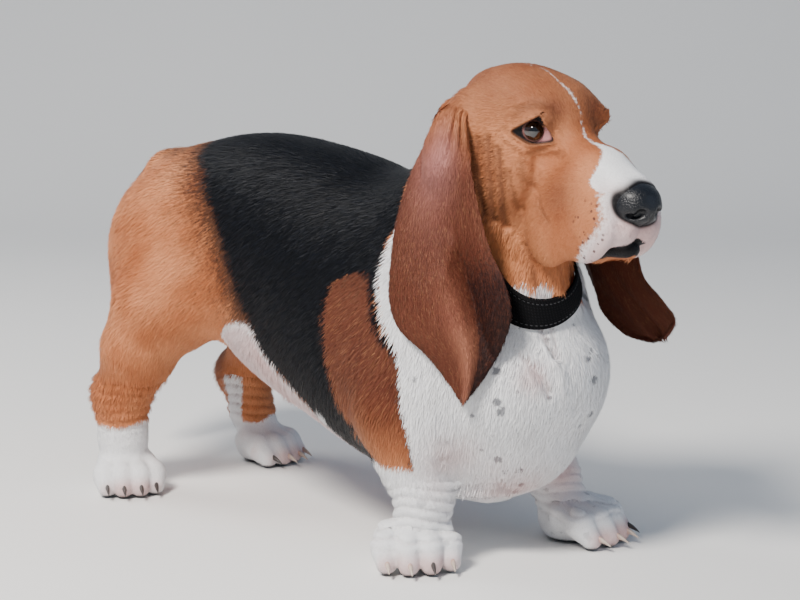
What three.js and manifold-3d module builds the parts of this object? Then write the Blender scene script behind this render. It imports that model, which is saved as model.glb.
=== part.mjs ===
// A basset hound standing still, life size, in millimetres. +Z is up, the dog faces -Y and its left side is +X.
// The flesh is one smooth field built from named masses. Each part of the body is a set of rings cast onto that
// field, parted from its neighbour by a thin cut.
import * as THREE from "three";
import { LoftGeometry } from "three/addons/geometries/LoftGeometry.js";
import { mergeVertices } from "three/addons/utils/BufferGeometryUtils.js";
import Module from "manifold-3d";

const wasm = await Module();
wasm.setup();

const GAP = 0.35; // left between two touching parts
const RIGHT = -1;
const LEFT = 1;
const rad = THREE.MathUtils.degToRad;

// Fields: functions of a point, below zero inside the flesh and about a distance in millimetres.

const v3 = (x, y, z) => new THREE.Vector3(x, y, z);

// Round blend of two fields over a width k.
function soften(a, b, k) {
  const h = Math.max(k - Math.abs(a - b), 0) / k;
  return Math.min(a, b) - (h * h * k) / 4;
}

const join = (k, ...fields) => (p) => fields.reduce((d, f) => soften(d, f(p), k), 1e3);

const carve = (field, tool, k) => (p) => -soften(-field(p), tool(p), k);

// An ellipsoid, tilted nose-down about X by pitch and turned about Z by yaw, in degrees.
function ball(at, radii, pitch = 0, yaw = 0) {
  const turn = new THREE.Quaternion().setFromEuler(new THREE.Euler(rad(pitch), 0, rad(yaw), "ZYX")).invert();
  const centre = v3(...at);
  const r = v3(...radii);
  const q = v3();
  return (p) => {
    q.copy(p).sub(centre).applyQuaternion(turn).divide(r);
    const near = q.length();
    const slope = q.divide(r).length();
    return near < 1e-6 ? -Math.min(...radii) : (near * (near - 1)) / slope;
  };
}

// A chain of tapered round lengths through [x, y, z, radius] points. flat narrows it from side to side.
function limb(points, flat = 1) {
  return (p) => {
    let best = 1e3;
    for (let i = 0; i + 1 < points.length; i++) {
      const [ax, ay, az, ar] = points[i];
      const [bx, by, bz, br] = points[i + 1];
      const dx = bx - ax;
      const dy = by - ay;
      const dz = bz - az;
      const along = (p.x - ax) * dx + (p.y - ay) * dy + (p.z - az) * dz;
      const t = Math.min(1, Math.max(0, along / (dx * dx + dy * dy + dz * dz)));
      const side = (p.x - ax - dx * t) / flat;
      const d = Math.hypot(side, p.y - ay - dy * t, p.z - az - dz * t) - (ar + (br - ar) * t);
      best = soften(best, d, 12);
    }
    return best;
  };
}

// A smooth curve through rows of numbers, read at the first number of each row.
function table(rows) {
  return (y) => {
    const last = rows.length - 2;
    let i = 0;
    while (i < last && y > rows[i + 1][0]) i++;
    const [a, b] = [rows[i], rows[i + 1]];
    const [before, after] = [rows[Math.max(i - 1, 0)], rows[Math.min(i + 2, last + 1)]];
    const span = b[0] - a[0];
    const t = Math.min(1, Math.max(0, (y - a[0]) / span));
    return a.map((_, c) => {
      const ma = ((b[c] - before[c]) / (b[0] - before[0])) * span;
      const mb = ((after[c] - a[c]) / (after[0] - a[0])) * span;
      const [t2, t3] = [t * t, t * t * t];
      return (2 * t3 - 3 * t2 + 1) * a[c] + (t3 - 2 * t2 + t) * ma + (3 * t2 - 2 * t3) * b[c] + (t3 - t2) * mb;
    });
  };
}

// The barrel of the body: at each y its top, bottom, half width and the level where it is widest.
const BARREL = [
  [-230, 352, 66, 96, 205],
  [-160, 364, 60, 114, 200],
  [-90, 380, 76, 119, 212],
  [-20, 397, 100, 116, 232],
  [60, 408, 126, 108, 255],
  [110, 410, 148, 99, 272],
  [160, 405, 186, 92, 290],
  [210, 392, 218, 84, 302],
  [260, 374, 245, 66, 308],
];
const BARREL_POWER = 2.25;

function barrel(p) {
  const [, top, bottom, wide, level] = table(BARREL)(p.y);
  const high = p.z > level ? top - level : level - bottom;
  const across = Math.abs(p.x) / wide;
  const power = (share) => Math.pow(share, BARREL_POWER);
  const k = Math.pow(power(across) + power(Math.abs(p.z - level) / high), 1 / BARREL_POWER);
  const ends = Math.max(-230 - p.y, p.y - 260);
  return Math.max((k - 1) * wide, ends);
}

const trunk = join(
  30,
  barrel,
  ball([4, -232, 188], [112, 106, 106]), // forechest
  ball([0, -262, 198], [70, 84, 60]), // point of the breastbone
  ball([0, -212, 118], [74, 96, 62]), // brisket
  ball([0, 222, 285], [88, 108, 92]), // rump
  ball([0, 278, 342], [24, 34, 28]), // root of the tail
);

const shoulders = [RIGHT, LEFT].map((side) =>
  join(
    30,
    ball([side * 84, -190, 225], [44, 74, 104], 14),
    ball([side * 90, -188, 150], [38, 54, 60]), // upper arm
  ),
);

const thighs = [RIGHT, LEFT].map((side) =>
  join(30, ball([side * 66, 208, 262], [50, 96, 96], -8), ball([side * 82, 196, 222], [42, 78, 58], -25)),
);

// The four legs, from the body down to the pastern, as [x, y, z, radius].
const LEGS = {
  fore_right: [
    [-94, -176, 150, 42],
    [-92, -196, 105, 34],
    [-90, -212, 68, 29],
    [-93, -210, 35, 29],
  ],
  fore_left: [
    [88, -188, 150, 42],
    [86, -206, 105, 34],
    [86, -228, 68, 28],
    [90, -240, 35, 28],
  ],
  hind_right: [
    [-94, 205, 215, 50],
    [-102, 224, 165, 43],
    [-106, 252, 110, 32],
    [-105, 254, 62, 28],
    [-106, 252, 30, 28],
  ],
  hind_left: [
    [92, 205, 215, 50],
    [98, 240, 155, 40],
    [102, 278, 104, 30],
    [102, 268, 58, 26],
    [102, 250, 28, 26],
  ],
};

// The feet: centre on the ground, heading out from straight ahead in degrees, and the size of the foot.
const FEET = {
  fore_right: { at: [-104, -212], out: 36, side: RIGHT, long: 96, wide: 84, tall: 52 },
  fore_left: { at: [94, -264], out: 14, side: LEFT, long: 98, wide: 86, tall: 52 },
  hind_right: { at: [-112, 236], out: 32, side: RIGHT, long: 84, wide: 70, tall: 46 },
  hind_left: { at: [100, 236], out: 8, side: LEFT, long: 84, wide: 70, tall: 46 },
};
const TOES = [-0.37, -0.13, 0.13, 0.37]; // across the foot, in foot widths
const TOE_REACH = [0.36, 0.46, 0.46, 0.36]; // ahead of the middle, in foot lengths

// Turns a point of the foot (across, ahead, up) into the row's frame.
function onFoot(foot, across, ahead, up) {
  const turn = rad(foot.out) * foot.side;
  const [x, y] = foot.at;
  const [c, s] = [Math.cos(turn), Math.sin(turn)];
  return [x + across * c + ahead * s, y + across * s - ahead * c, up];
}

function footField(foot) {
  const { long, wide, tall } = foot;
  const toes = TOES.map((share, i) => {
    const across = share * wide;
    const tip = TOE_REACH[i] * long;
    return limb([
      [...onFoot(foot, across * 0.75, tip - 46, tall * 0.6), 17],
      [...onFoot(foot, across, tip - 22, tall * 0.48), 14.5],
      [...onFoot(foot, across * 1.04, tip - 8, 11.5), 12.5],
    ]);
  });
  const yaw = foot.out * foot.side;
  const palm = ball(onFoot(foot, 0, -0.14 * long, 0.36 * tall), [0.38 * wide, 0.37 * long, 0.5 * tall], 0, yaw);
  return join(12, palm, join(5, ...toes));
}

const feet = Object.fromEntries(Object.entries(FEET).map(([name, foot]) => [name, footField(foot)]));
const legs = Object.fromEntries(
  Object.entries(LEGS).map(([name, points]) => {
    const shaft = limb(points);
    if (!name.startsWith("hind")) return [name, shaft];
    const [x, y, z] = points[2];
    return [name, join(22, shaft, ball([x, y + 22, z - 4], [17, 24, 26]))];
  }),
);

// The head's own frame: its origin is midway between the eyes, turned a little to the dog's right and dipped.
const HEAD_AT = v3(-15, -332, 449);
const HEAD_YAW = -10;
const HEAD_DIP = 6;
const headTurn = new THREE.Quaternion().setFromEuler(new THREE.Euler(rad(HEAD_DIP), 0, rad(HEAD_YAW), "ZYX"));
const headTurnBack = headTurn.clone().invert();
const fromHead = (x, y, z) => v3(x, y, z).applyQuaternion(headTurn).add(HEAD_AT);

const EYE = { x: 31.5, y: 11, z: -6, radius: 13, out: 50 };

const pair = (make) => [make(RIGHT), make(LEFT)];

const skull = join(
  14,
  ball([0, 62, -2], [54, 86, 51]),
  ball([0, 116, 0], [28, 32, 32]), // point at the back of the skull
  ...pair((s) => ball([s * 22, 30, 10], [26, 34, 25])),
  ...pair((s) => ball([s * 30, 8, 6], [15, 24, 14], 0, s * 24)), // brows
  ...pair((s) => ball([s * 38, 50, -42], [20, 48, 50])), // cheeks
  ...pair((s) =>
    limb([
      [s * 7, -4, -14, 14],
      [s * 9, -57, -34, 19],
      [s * 9, -106, -49, 17],
    ]),
  ), // bridge of the muzzle
  ball([0, 50, -66], [40, 56, 46]), // angle of the jaw
  limb([
    [0, 14, -52, 34],
    [0, -50, -57, 24],
    [0, -98, -60, 15],
  ]), // upper jaw
);
const flews = join(
  5,
  ...pair((s) =>
    join(
      10,
      ball([s * 25, -58, -76], [17, 56, 47], 6, s * 4),
      ball([s * 31, -22, -98], [12, 38, 38], 8),
      ball([s * 11, -99, -76], [19, 26, 25]),
    ),
  ),
);
const chin = limb(
  [
    [0, 10, -104, 24],
    [0, -60, -104, 19],
    [0, -106, -101, 12],
  ],
  1.15,
);
const headField = join(10, skull, flews);

const q = v3();
const inHead = (field) => (p) => field(q.copy(p).sub(HEAD_AT).applyQuaternion(headTurnBack));

const crest = limb([
  [0, -130, 290, 96],
  [-2, -190, 330, 84],
  [-6, -232, 385, 70],
  [-8, -252, 420, 60],
]);
const dewlap = limb([
  [0, -262, 215, 56],
  [-6, -282, 275, 44],
  [-10, -294, 318, 32],
]);
const neck = join(30, crest, dewlap);

const tail = limb([
  [0, 292, 362, 24],
  [2, 322, 335, 20],
  [3, 342, 290, 17],
  [4, 352, 230, 14],
  [5, 358, 170, 10.5],
  [6, 364, 125, 7],
]);

const torsoField = join(30, trunk, ...shoulders, ...thighs);
const bodyField = join(14, torsoField, ...Object.values(legs));
const footedField = join(12, bodyField, ...Object.values(feet));
const chestField = join(30, torsoField, neck);
const wholeField = join(18, join(24, bodyField, neck), inHead(headField));

const within = (field, bounds) => (p) => Math.max(field(p), bounds(p));

// Where each leg ends and the trunk begins: a rounded region that the leg fills.
const REGIONS = Object.fromEntries(
  Object.entries(LEGS).map(([name, points]) => {
    const side = name.endsWith("right") ? RIGHT : LEFT;
    const upper = name.startsWith("hind")
      ? ball([side * 100, 202, 196], [58, 92, 100])
      : ball([side * 100, points[0][1] - 8, 138], [56, 74, 88]);
    return [name, join(16, upper, limb(points.map(([x, y, z, r]) => [x, y, z, r + 16])))];
  }),
);

// Casting: a ring of points where rays from a centre leave the field.

const STEP = 2.5;

function leave(field, from, way, reach) {
  const p = v3();
  const at = (d) => field(p.copy(way).multiplyScalar(d).add(from));
  let out = STEP;
  while (out < reach && at(out) < 0) out += STEP;
  if (out >= reach) return v3().copy(way).multiplyScalar(reach).add(from);
  let inside = out - STEP;
  for (let i = 0; i < 12; i++) {
    const middle = (inside + out) / 2;
    if (at(middle) < 0) inside = middle;
    else out = middle;
  }
  return v3().copy(way).multiplyScalar(out).add(from);
}

// One ring: centre, the two axes of its plane, and lean, which tips the rays towards the third axis.
function ring(field, centre, a, b, sides, reach = 400, lean = 0) {
  const c = v3().crossVectors(a, b);
  return Array.from({ length: sides }, (_, i) => {
    const t = (i / sides) * 2 * Math.PI;
    const way = v3()
      .addScaledVector(a, Math.cos(t) * Math.cos(lean))
      .addScaledVector(b, Math.sin(t) * Math.cos(lean))
      .addScaledVector(c, Math.sin(lean));
    return leave(field, centre, way, reach);
  });
}

const DOME = [0.3, 0.6, 0.87, 1.12, 1.35];

// A loft closed at both ends by a fan of faces to the middle of its first and last section.
function capped(sections) {
  const fan = (section) => {
    const middle = section.reduce((sum, p) => sum.add(p), v3()).divideScalar(section.length);
    return Array(section.length).fill(middle);
  };
  const all = [fan(sections[0]), ...sections, fan(sections[sections.length - 1])];
  return new LoftGeometry(all, { capStart: false, capEnd: false });
}

// Rings along centres, each {at, a, b}, running towards a x b. A dome closes the far end where asked.
function cast(field, centres, { sides, reach, domeEnd = false }) {
  const sections = centres.map(({ at, a, b, reach: own }) => ring(field, at, a, b, sides, own ?? reach));
  if (domeEnd) {
    const { at, a, b } = centres[centres.length - 1];
    for (const lean of DOME) sections.push(ring(field, at, a, b, sides, reach, lean));
    const tip = leave(field, at, v3().crossVectors(a, b), reach);
    sections.push(Array(sides).fill(tip));
  }
  return capped(sections);
}

// Solids for cutting and joining.

function solid(geometry) {
  const bare = new THREE.BufferGeometry();
  bare.setAttribute("position", geometry.attributes.position);
  bare.setIndex(geometry.index);
  const merged = mergeVertices(bare, 1e-3);
  const corners = merged.index.array;
  const kept = [];
  for (let i = 0; i < corners.length; i += 3) {
    const [p, q, r] = corners.slice(i, i + 3);
    if (p !== q && q !== r && r !== p) kept.push(p, q, r);
  }
  const build = (triVerts) =>
    new wasm.Manifold(new wasm.Mesh({ numProp: 3, vertProperties: merged.attributes.position.array, triVerts }));
  const first = build(new Uint32Array(kept));
  return first.volume() > 0 ? first : build(new Uint32Array(kept.reverse()));
}

function geometryOf(made) {
  const mesh = made.getMesh();
  const g = new THREE.BufferGeometry();
  g.setAttribute("position", new THREE.BufferAttribute(mesh.vertProperties, mesh.numProp));
  g.setIndex(new THREE.BufferAttribute(mesh.triVerts, 1));
  return g;
}

// The same solid with every point moved out along its normal.
function grown(made, by = GAP) {
  const g = geometryOf(made);
  g.computeVertexNormals();
  const { position, normal } = g.attributes;
  for (let i = 0; i < position.count; i++) {
    position.setXYZ(
      i,
      position.getX(i) + normal.getX(i) * by,
      position.getY(i) + normal.getY(i) * by,
      position.getZ(i) + normal.getZ(i) * by,
    );
  }
  return solid(g);
}

// A body cut clear of its neighbours, keeping its largest piece.
function clearOf(body, ...others) {
  const shells = others.flatMap((other) => [grown(other), grown(other, 0.02), other]);
  return largest(shells.reduce((left, shell) => left.subtract(shell), body));
}

function largest(made) {
  return made.decompose().reduce((a, b) => (a.volume() > b.volume() ? a : b));
}

const X = v3(1, 0, 0);
const Y = v3(0, 1, 0);
const Z = v3(0, 0, 1);
const minus = (v) => v.clone().negate();
const range = (from, to, count) => Array.from({ length: count }, (_, i) => from + ((to - from) * i) / (count - 1));

const made = {};
const up = (angle) => v3(0, Math.sin(angle), Math.cos(angle)); // leaning back from upright

// The trunk, in rings across the body from the base of the neck to the rump. The first rings fan round a point
// above the withers.
const WITHERS = v3(0, -105, 425);
const NECK_LEAN = rad(50);
const fan = range(1, 0, 9).map((t) => {
  const b = up(NECK_LEAN * t);
  const length = THREE.MathUtils.lerp(200, 154, t);
  return { at: WITHERS.clone().addScaledVector(b, -length), a: minus(X), b };
});
const trunkRings = range(-80, 235, 14).map((y) => {
  const [, top, bottom] = table(BARREL)(y);
  return { at: v3(0, y, (top + bottom) / 2), a: minus(X), b: Z };
});
let torso = solid(cast(chestField, [...fan, ...trunkRings], { sides: 28, reach: 400, domeEnd: true }));

// Each leg and foot, in level rings from the sole up.
const FOOT_CUT = 50;
for (const [name, points] of Object.entries(LEGS)) {
  const foot = FEET[name];
  const [kind, side] = name.split("_");
  const legAt = (z) => {
    const above = points.findIndex((p, n) => n > 0 && z >= p[2]);
    const j = above < 0 ? points.length - 2 : above - 1;
    const [a, b] = [points[j], points[j + 1]];
    const t = Math.min(1, Math.max(0, (z - b[2]) / (a[2] - b[2])));
    return v3(b[0] + (a[0] - b[0]) * t, b[1] + (a[1] - b[1]) * t, z);
  };
  const footRings = [0, 4, 10, 17, 24, 31, 38, 44, FOOT_CUT - GAP].map((z) => {
    const share = THREE.MathUtils.smoothstep(z, 8, FOOT_CUT);
    const base = v3(...onFoot(foot, 0, 0.06 * foot.long, z));
    return { at: base.lerp(legAt(z), share), a: X, b: Y };
  });
  made[`${kind}_paw_${side}`] = solid(cast(footedField, footRings, { sides: 34, reach: 90 }));
  const top = kind === "hind" ? 290 : 220;
  const legRings = range(FOOT_CUT, top, kind === "hind" ? 15 : 12).map((z) => ({ at: legAt(z), a: X, b: Y }));
  const region = REGIONS[name];
  made[`${kind}_leg_${side}`] = solid(cast(within(footedField, region), legRings, { sides: 22, reach: 140 }));
  torso = torso.subtract(grown(solid(cast(region, legRings, { sides: 22, reach: 140 }))));
}
made.torso = largest(torso);

// The head, in rings across it from the throat and the back of the skull to the nose. The first rings fan round a
// point below the throat.
const HEAD_LEAN = rad(39);
const headRings = [];
for (const t of range(1, 0, 12)) {
  const b = up(HEAD_LEAN * t);
  const at = v3(0, -16, -157).addScaledVector(b, THREE.MathUtils.lerp(106, 124, t));
  headRings.push({ at, b });
}
for (const y of range(-26, -104, 8)) {
  headRings.push({ at: v3(0, y, THREE.MathUtils.mapLinear(y, -16, -104, -51, -56)), b: Z });
}
const inRow = ({ at, b }) => ({
  at: fromHead(at.x, at.y, at.z),
  a: X.clone().applyQuaternion(headTurn),
  b: b.clone().applyQuaternion(headTurn),
});
const skullRings = headRings.map(inRow);
const headWhole = join(18, inHead(headField), crest);
let headSolid = solid(cast(headWhole, skullRings, { sides: 36, reach: 200, domeEnd: true }));

// The neck, in rings from the trunk's first ring to the head's.
const foot = fan[0];
const nape = skullRings[0];
const neckRings = range(0, 1, 6).map((t) => {
  const a = v3().lerpVectors(X, nape.a, t).normalize();
  const b = v3().lerpVectors(foot.b, nape.b, t);
  b.addScaledVector(a, -b.dot(a)).normalize();
  const at = v3().lerpVectors(foot.at, nape.at, t);
  const along = v3().crossVectors(a, b);
  return { at: at.addScaledVector(along, t === 0 ? GAP : t === 1 ? -GAP : 0), a, b };
});
made.neck = solid(cast(wholeField, neckRings, { sides: 28, reach: 170 }));

// The nose pad stands in the front of the muzzle, with two nostrils bored into it.
const NOSE = { at: [0, -109, -58], size: [25, 25, 20], nostril: [10.5, -133, -62] };
const noseField = inHead(
  carve(
    join(6, ball(NOSE.at, NOSE.size), ball([0, -107, -49], [22, 23, 13])),
    join(
      3,
      ...pair((s) => ball([s * NOSE.nostril[0], NOSE.nostril[1], NOSE.nostril[2]], [4.8, 9, 4.4])),
      ...pair((s) => ball([s * 18.5, -128, -65], [8, 9, 2.7], 0, s * 32)),
    ),
    3,
  ),
);
const noseRings = range(-100, -124, 6).map((y) => inRow({ at: v3(0, y, -57), b: Z }));
made.nose = solid(cast(noseField, noseRings, { sides: 24, reach: 40, domeEnd: true }));

// Eyes, and the lids: a thin cap over each eyeball, slit open along a droop from the inner to the outer corner.
const LID = 2.4;
const OPENING = { wide: 17.5, high: 10.5 };
for (const side of [RIGHT, LEFT]) {
  const at = fromHead(side * EYE.x, EYE.y, EYE.z);
  const globe = (radius) => solid(new THREE.SphereGeometry(radius, 18, 12).translate(at.x, at.y, at.z));
  const slit = new THREE.SphereGeometry(1, 18, 10);
  slit.scale(OPENING.wide, 26, OPENING.high).translate(0, -20, -1);
  slit.rotateZ(rad(side * EYE.out));
  slit.translate(side * EYE.x, EYE.y, EYE.z).applyQuaternion(headTurn);
  slit.translate(HEAD_AT.x, HEAD_AT.y, HEAD_AT.z);
  made[side === RIGHT ? "eye_right" : "eye_left"] = globe(EYE.radius);
  headSolid = headSolid.add(globe(EYE.radius + LID)).subtract(globe(EYE.radius + GAP)).subtract(solid(slit));
}
made.head = clearOf(headSolid, made.nose);

// The lower jaw lies between the hanging lips, and the cut between them is the line of the mouth.
const jawRings = range(30, -102, 8).map((y) => {
  const z = THREE.MathUtils.mapLinear(y, 36, -102, -99, -92);
  return inRow({ at: v3(0, y, z), b: Z });
});
const jawWhole = solid(cast(inHead(chin), jawRings, { sides: 16, reach: 60, domeEnd: true }));
made.lower_jaw = clearOf(jawWhole, made.head, made.neck);

// The ears: thin cupped leaves between a back and a front edge, laid clear of the neck under them.
const EAR_THICK = 5;
const EAR_CLEAR = 8.5;
const EAR_RIGHT = {
  out: v3(-0.7, -0.7, 0.15).normalize(),
  back: [[-44, -214, 472], [-58, -206, 463], [-70, -203, 444], [-79, -198, 420], [-85, -187, 393], [-85, -168, 346],
    [-85, -160, 305], [-85, -158, 264], [-85, -172, 237], [-85, -212, 214], [-85, -240, 191], [-85, -257, 175]],
  front: [[-46, -240, 464], [-62, -242, 452], [-72, -253, 438], [-79, -263, 421], [-85, -271, 400], [-85, -281, 366],
    [-85, -296, 329], [-85, -315, 300], [-85, -324, 269], [-85, -311, 233], [-85, -286, 200], [-85, -262, 175]],
};
const EAR_LEFT = {
  out: v3(1, -0.15, 0.1).normalize(),
  back: [[38, -245, 442], [60, -234, 438], [78, -235, 405], [96, -225, 365], [108, -228, 325], [112, -240, 285],
    [118, -262, 248], [120, -296, 222], [120, -334, 217]],
  front: [[32, -276, 440], [54, -280, 434], [72, -300, 398], [92, -315, 355], [104, -325, 315], [108, -333, 285],
    [112, -356, 262], [118, -366, 244], [120, -352, 226]],
};
const drapeField = join(24, join(24, bodyField, neck), inHead(headField));

function ear({ out, back, front }, cup) {
  const [b, f] = [back, front].map((edge) => new THREE.CatmullRomCurve3(edge.map((p) => v3(...p))));
  const across = 7;
  return range(0, 1, 18).map((t) => {
    const [from, to] = [b.getPoint(t), f.getPoint(t)];
    const outer = [];
    const inner = [];
    for (let i = 0; i <= across; i++) {
      const u = i / across;
      const p = v3().lerpVectors(from, to, u);
      const dip = Math.sin(Math.PI * u) ** 2;
      const fold = Math.sin(3 * Math.PI * u) * 2.5 * t;
      p.addScaledVector(out, -cup * dip * (1 - t) + fold);
      const sunk = 9 * (1 - THREE.MathUtils.smoothstep(t, 0.02, 0.16));
      const hold = THREE.MathUtils.smoothstep(t, 0.06, 0.22) * EAR_CLEAR - sunk;
      for (let k = 0; k < 120 && drapeField(p) < hold; k++) p.addScaledVector(out, 0.6);
      const half = (EAR_THICK / 2) * Math.sqrt(Math.max(0, 1 - Math.abs(2 * u - 1) ** 4)) + 0.15;
      outer.push(p.clone().addScaledVector(out, half));
      inner.unshift(p.clone().addScaledVector(out, -half));
    }
    return [...outer, ...inner];
  });
}
const earSolid = (shape, cup) => {
  const leaf = solid(capped(ear(shape, cup)));
  return clearOf(leaf, made.head, made.neck, made.torso);
};
made.ear_right = earSolid(EAR_RIGHT, 6);
made.ear_left = earSolid(EAR_LEFT, 6);

// The collar: a plain band round the neck, lowest at the throat on the dog's right and riding up at the nape.
const COLLAR = { at: v3(-9.5, -239, 333), up: v3(-0.382, -0.525, 0.76), wide: 19, thick: 3.5, sides: 36, rise: 66 };
const neckField = join(24, bodyField, neck);
const collarSide = v3().crossVectors(COLLAR.up, Y).normalize();
const collarFront = v3().crossVectors(COLLAR.up, collarSide).normalize();
// Across the band: how far along its width, and how far off the neck.
const COLLAR_SECTION = [
  [-0.5, 0.5],
  [0.5, 0.5],
  [0.5, COLLAR.thick - 0.7],
  [0.42, COLLAR.thick],
  [-0.42, COLLAR.thick],
  [-0.5, COLLAR.thick - 0.7],
];
const collarLoops = range(0, 360 - 360 / COLLAR.sides, COLLAR.sides).map((degrees) => {
  const angle = rad(degrees);
  const spoke = v3().addScaledVector(collarSide, Math.cos(angle)).addScaledVector(collarFront, Math.sin(angle));
  const fromFront = Math.abs(((degrees - 80 + 540) % 360) - 180);
  const rise = COLLAR.rise * THREE.MathUtils.smoothstep(fromFront, 50, 165);
  return COLLAR_SECTION.map(([share, off]) => {
    const centre = COLLAR.at.clone().addScaledVector(COLLAR.up, share * COLLAR.wide + rise);
    return leave(neckField, centre, spoke, 400).addScaledVector(spoke, off);
  });
});
const band = solid(new LoftGeometry([...collarLoops, collarLoops[0]], { capStart: false, capEnd: false }));
made.collar = clearOf(band, made.neck, made.torso, made.head);

const tailField = join(20, tail, torsoField);
const TAIL_LINE = [[0, 285, 350], [2, 322, 333], [3, 342, 290], [4, 352, 230], [5, 358, 170], [6, 363, 130]];
const tailCurve = new THREE.CatmullRomCurve3(TAIL_LINE.map((p) => v3(...p)));
const tailRings = range(0, 1, 11).map((t) => {
  const along = tailCurve.getTangentAt(t);
  const a = v3().crossVectors(along, X).normalize();
  return { at: tailCurve.getPointAt(t), a, b: v3().crossVectors(along, a).normalize() };
});
made.tail = clearOf(solid(cast(tailField, tailRings, { sides: 10, reach: 34, domeEnd: true })), made.torso);

// Claws: short horns curving down from the front of each toe.
const CLAW = { reach: 13, root: 4, drop: 7 };
for (const [name, foot] of Object.entries(FEET)) {
  const [kind, side] = name.split("_");
  const paw = made[`${kind}_paw_${side}`];
  const sideways = v3(...onFoot(foot, 1, 0, 0)).sub(v3(...onFoot(foot, 0, 0, 0)));
  TOES.forEach((share, i) => {
    const start = TOE_REACH[i] * foot.long - 6;
    const sections = [0, 0.35, 0.7, 0.95].map((t) => {
      const ahead = start + (CLAW.reach + 8) * t;
      const centre = v3(...onFoot(foot, share * 1.06 * foot.wide, ahead, 14.5 - CLAW.drop * t * t));
      const radius = CLAW.root * (1 - 0.78 * t * t);
      return Array.from({ length: 7 }, (_, n) => {
        const angle = (n / 7) * 2 * Math.PI;
        const p = centre.clone().addScaledVector(sideways, Math.cos(angle) * radius * 0.8);
        return p.addScaledVector(Z, Math.sin(angle) * radius);
      });
    });
    const claw = solid(capped(sections));
    made[`${kind}_claw_${side}_${i + 1}`] = clearOf(claw, paw);
  });
}

// Colours of the finished animal, for each kind of part.
const LOOKS = {
  torso: [0x2a2724, 0.75],
  neck: [0x8a4f2c, 0.75],
  head: [0xa5653a, 0.72],
  lower_jaw: [0xd9c6b4, 0.7],
  nose: [0x15151a, 0.35],
  ear: [0x5e2d1d, 0.75],
  eye: [0x1c1009, 0.08],
  collar: [0x0c0c0d, 0.55],
  tail: [0x5a3a26, 0.75],
  leg: [0xb07a50, 0.75],
  paw: [0xe8e2da, 0.75],
  claw: [0xb9a996, 0.45],
};
const lookOf = (name) => LOOKS[name] ?? LOOKS[Object.keys(LOOKS).find((kind) => name.includes(kind))];

// The middle of the outline lies over the origin, with the soles at zero.
const SHIFT = [7.1, 43.1, 0];
const part = new THREE.Group();
for (const [name, body] of Object.entries(made)) {
  const [color, roughness] = lookOf(name);
  const mesh = new THREE.Mesh(geometryOf(body), new THREE.MeshStandardMaterial({ color, roughness, metalness: 0 }));
  mesh.name = name;
  mesh.position.set(...SHIFT);
  part.add(mesh);
}

export default part;
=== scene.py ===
import math

import bpy
import numpy as np
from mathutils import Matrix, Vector


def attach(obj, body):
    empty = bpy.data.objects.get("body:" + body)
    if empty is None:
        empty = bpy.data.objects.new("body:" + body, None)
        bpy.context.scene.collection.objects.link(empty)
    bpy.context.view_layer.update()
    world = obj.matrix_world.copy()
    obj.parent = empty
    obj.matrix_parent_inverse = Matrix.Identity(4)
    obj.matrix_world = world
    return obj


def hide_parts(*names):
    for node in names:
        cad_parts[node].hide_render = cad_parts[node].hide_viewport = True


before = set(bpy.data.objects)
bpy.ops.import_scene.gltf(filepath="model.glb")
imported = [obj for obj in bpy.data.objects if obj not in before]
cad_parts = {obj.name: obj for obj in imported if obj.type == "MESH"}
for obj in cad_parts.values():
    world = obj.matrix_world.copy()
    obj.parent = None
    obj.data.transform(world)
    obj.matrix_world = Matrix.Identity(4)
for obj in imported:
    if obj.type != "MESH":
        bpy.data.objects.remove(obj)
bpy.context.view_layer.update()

# The camera stands to the front right of the dog, a little above its head, as in the photograph.
# Distances in this file are worked out in millimetres from a point on the ground between the four paws, and
# SHIFT carries them into the frame, whose origin lies on the ground under the middle of the dog.
SHIFT = np.array([7.1, 43.1, 0.0])
MM = 0.001
CAMERA_AT = np.array([-1767.3, -1858.2, 663.9])
CAMERA_AIM = (0.6967, 0.6981, -0.165)


def metres(points):
    """Points in millimetres from between the paws, moved by SHIFT and divided by a thousand."""
    return (np.asarray(points, float) + SHIFT) * MM


camera = bpy.data.objects.new("camera", bpy.data.cameras.new("camera"))
camera.data.lens = 108
camera.data.sensor_width = 36
camera.location = metres(CAMERA_AT)
camera.rotation_euler = Vector(CAMERA_AIM).to_track_quat("-Z", "Y").to_euler()
camera.data.clip_end = 60
bpy.context.scene.collection.objects.link(camera)
bpy.context.scene.camera = camera

# The room is a pale floor that runs up into a pale wall. One soft lamp hangs high on the camera's left, a
# wide weak one stands on its right, and one shines from behind the dog. None of it is part of the dog.


class Wrap:
    """A node socket that takes part in Python arithmetic."""

    tree = None

    def __init__(self, socket):
        self.socket = socket

    def math(self, kind, other=None, first=False):
        n = Wrap.tree.nodes.new("ShaderNodeMath")
        n.operation = kind
        pair = (other, self) if first else (self, other)
        for slot, value in zip(n.inputs, pair):
            if isinstance(value, Wrap):
                Wrap.tree.links.new(value.socket, slot)
            elif value is not None:
                slot.default_value = value
        return Wrap(n.outputs[0])

    def __add__(self, o): return self.math("ADD", o)
    def __radd__(self, o): return self.math("ADD", o, True)
    def __sub__(self, o): return self.math("SUBTRACT", o)
    def __rsub__(self, o): return self.math("SUBTRACT", o, True)
    def __mul__(self, o): return self.math("MULTIPLY", o)
    def __rmul__(self, o): return self.math("MULTIPLY", o, True)
    def __truediv__(self, o): return self.math("DIVIDE", o)

    def step(self, low, high):
        """Rises smoothly from 0 at low to 1 at high, or falls where low is above high."""
        n = Wrap.tree.nodes.new("ShaderNodeMapRange")
        n.interpolation_type = "SMOOTHSTEP"
        Wrap.tree.links.new(self.socket, n.inputs["Value"])
        if low > high:
            low, high = high, low
            n.inputs["To Min"].default_value, n.inputs["To Max"].default_value = 1, 0
        n.inputs["From Min"].default_value = low
        n.inputs["From Max"].default_value = high
        return Wrap(n.outputs[0])


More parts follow.
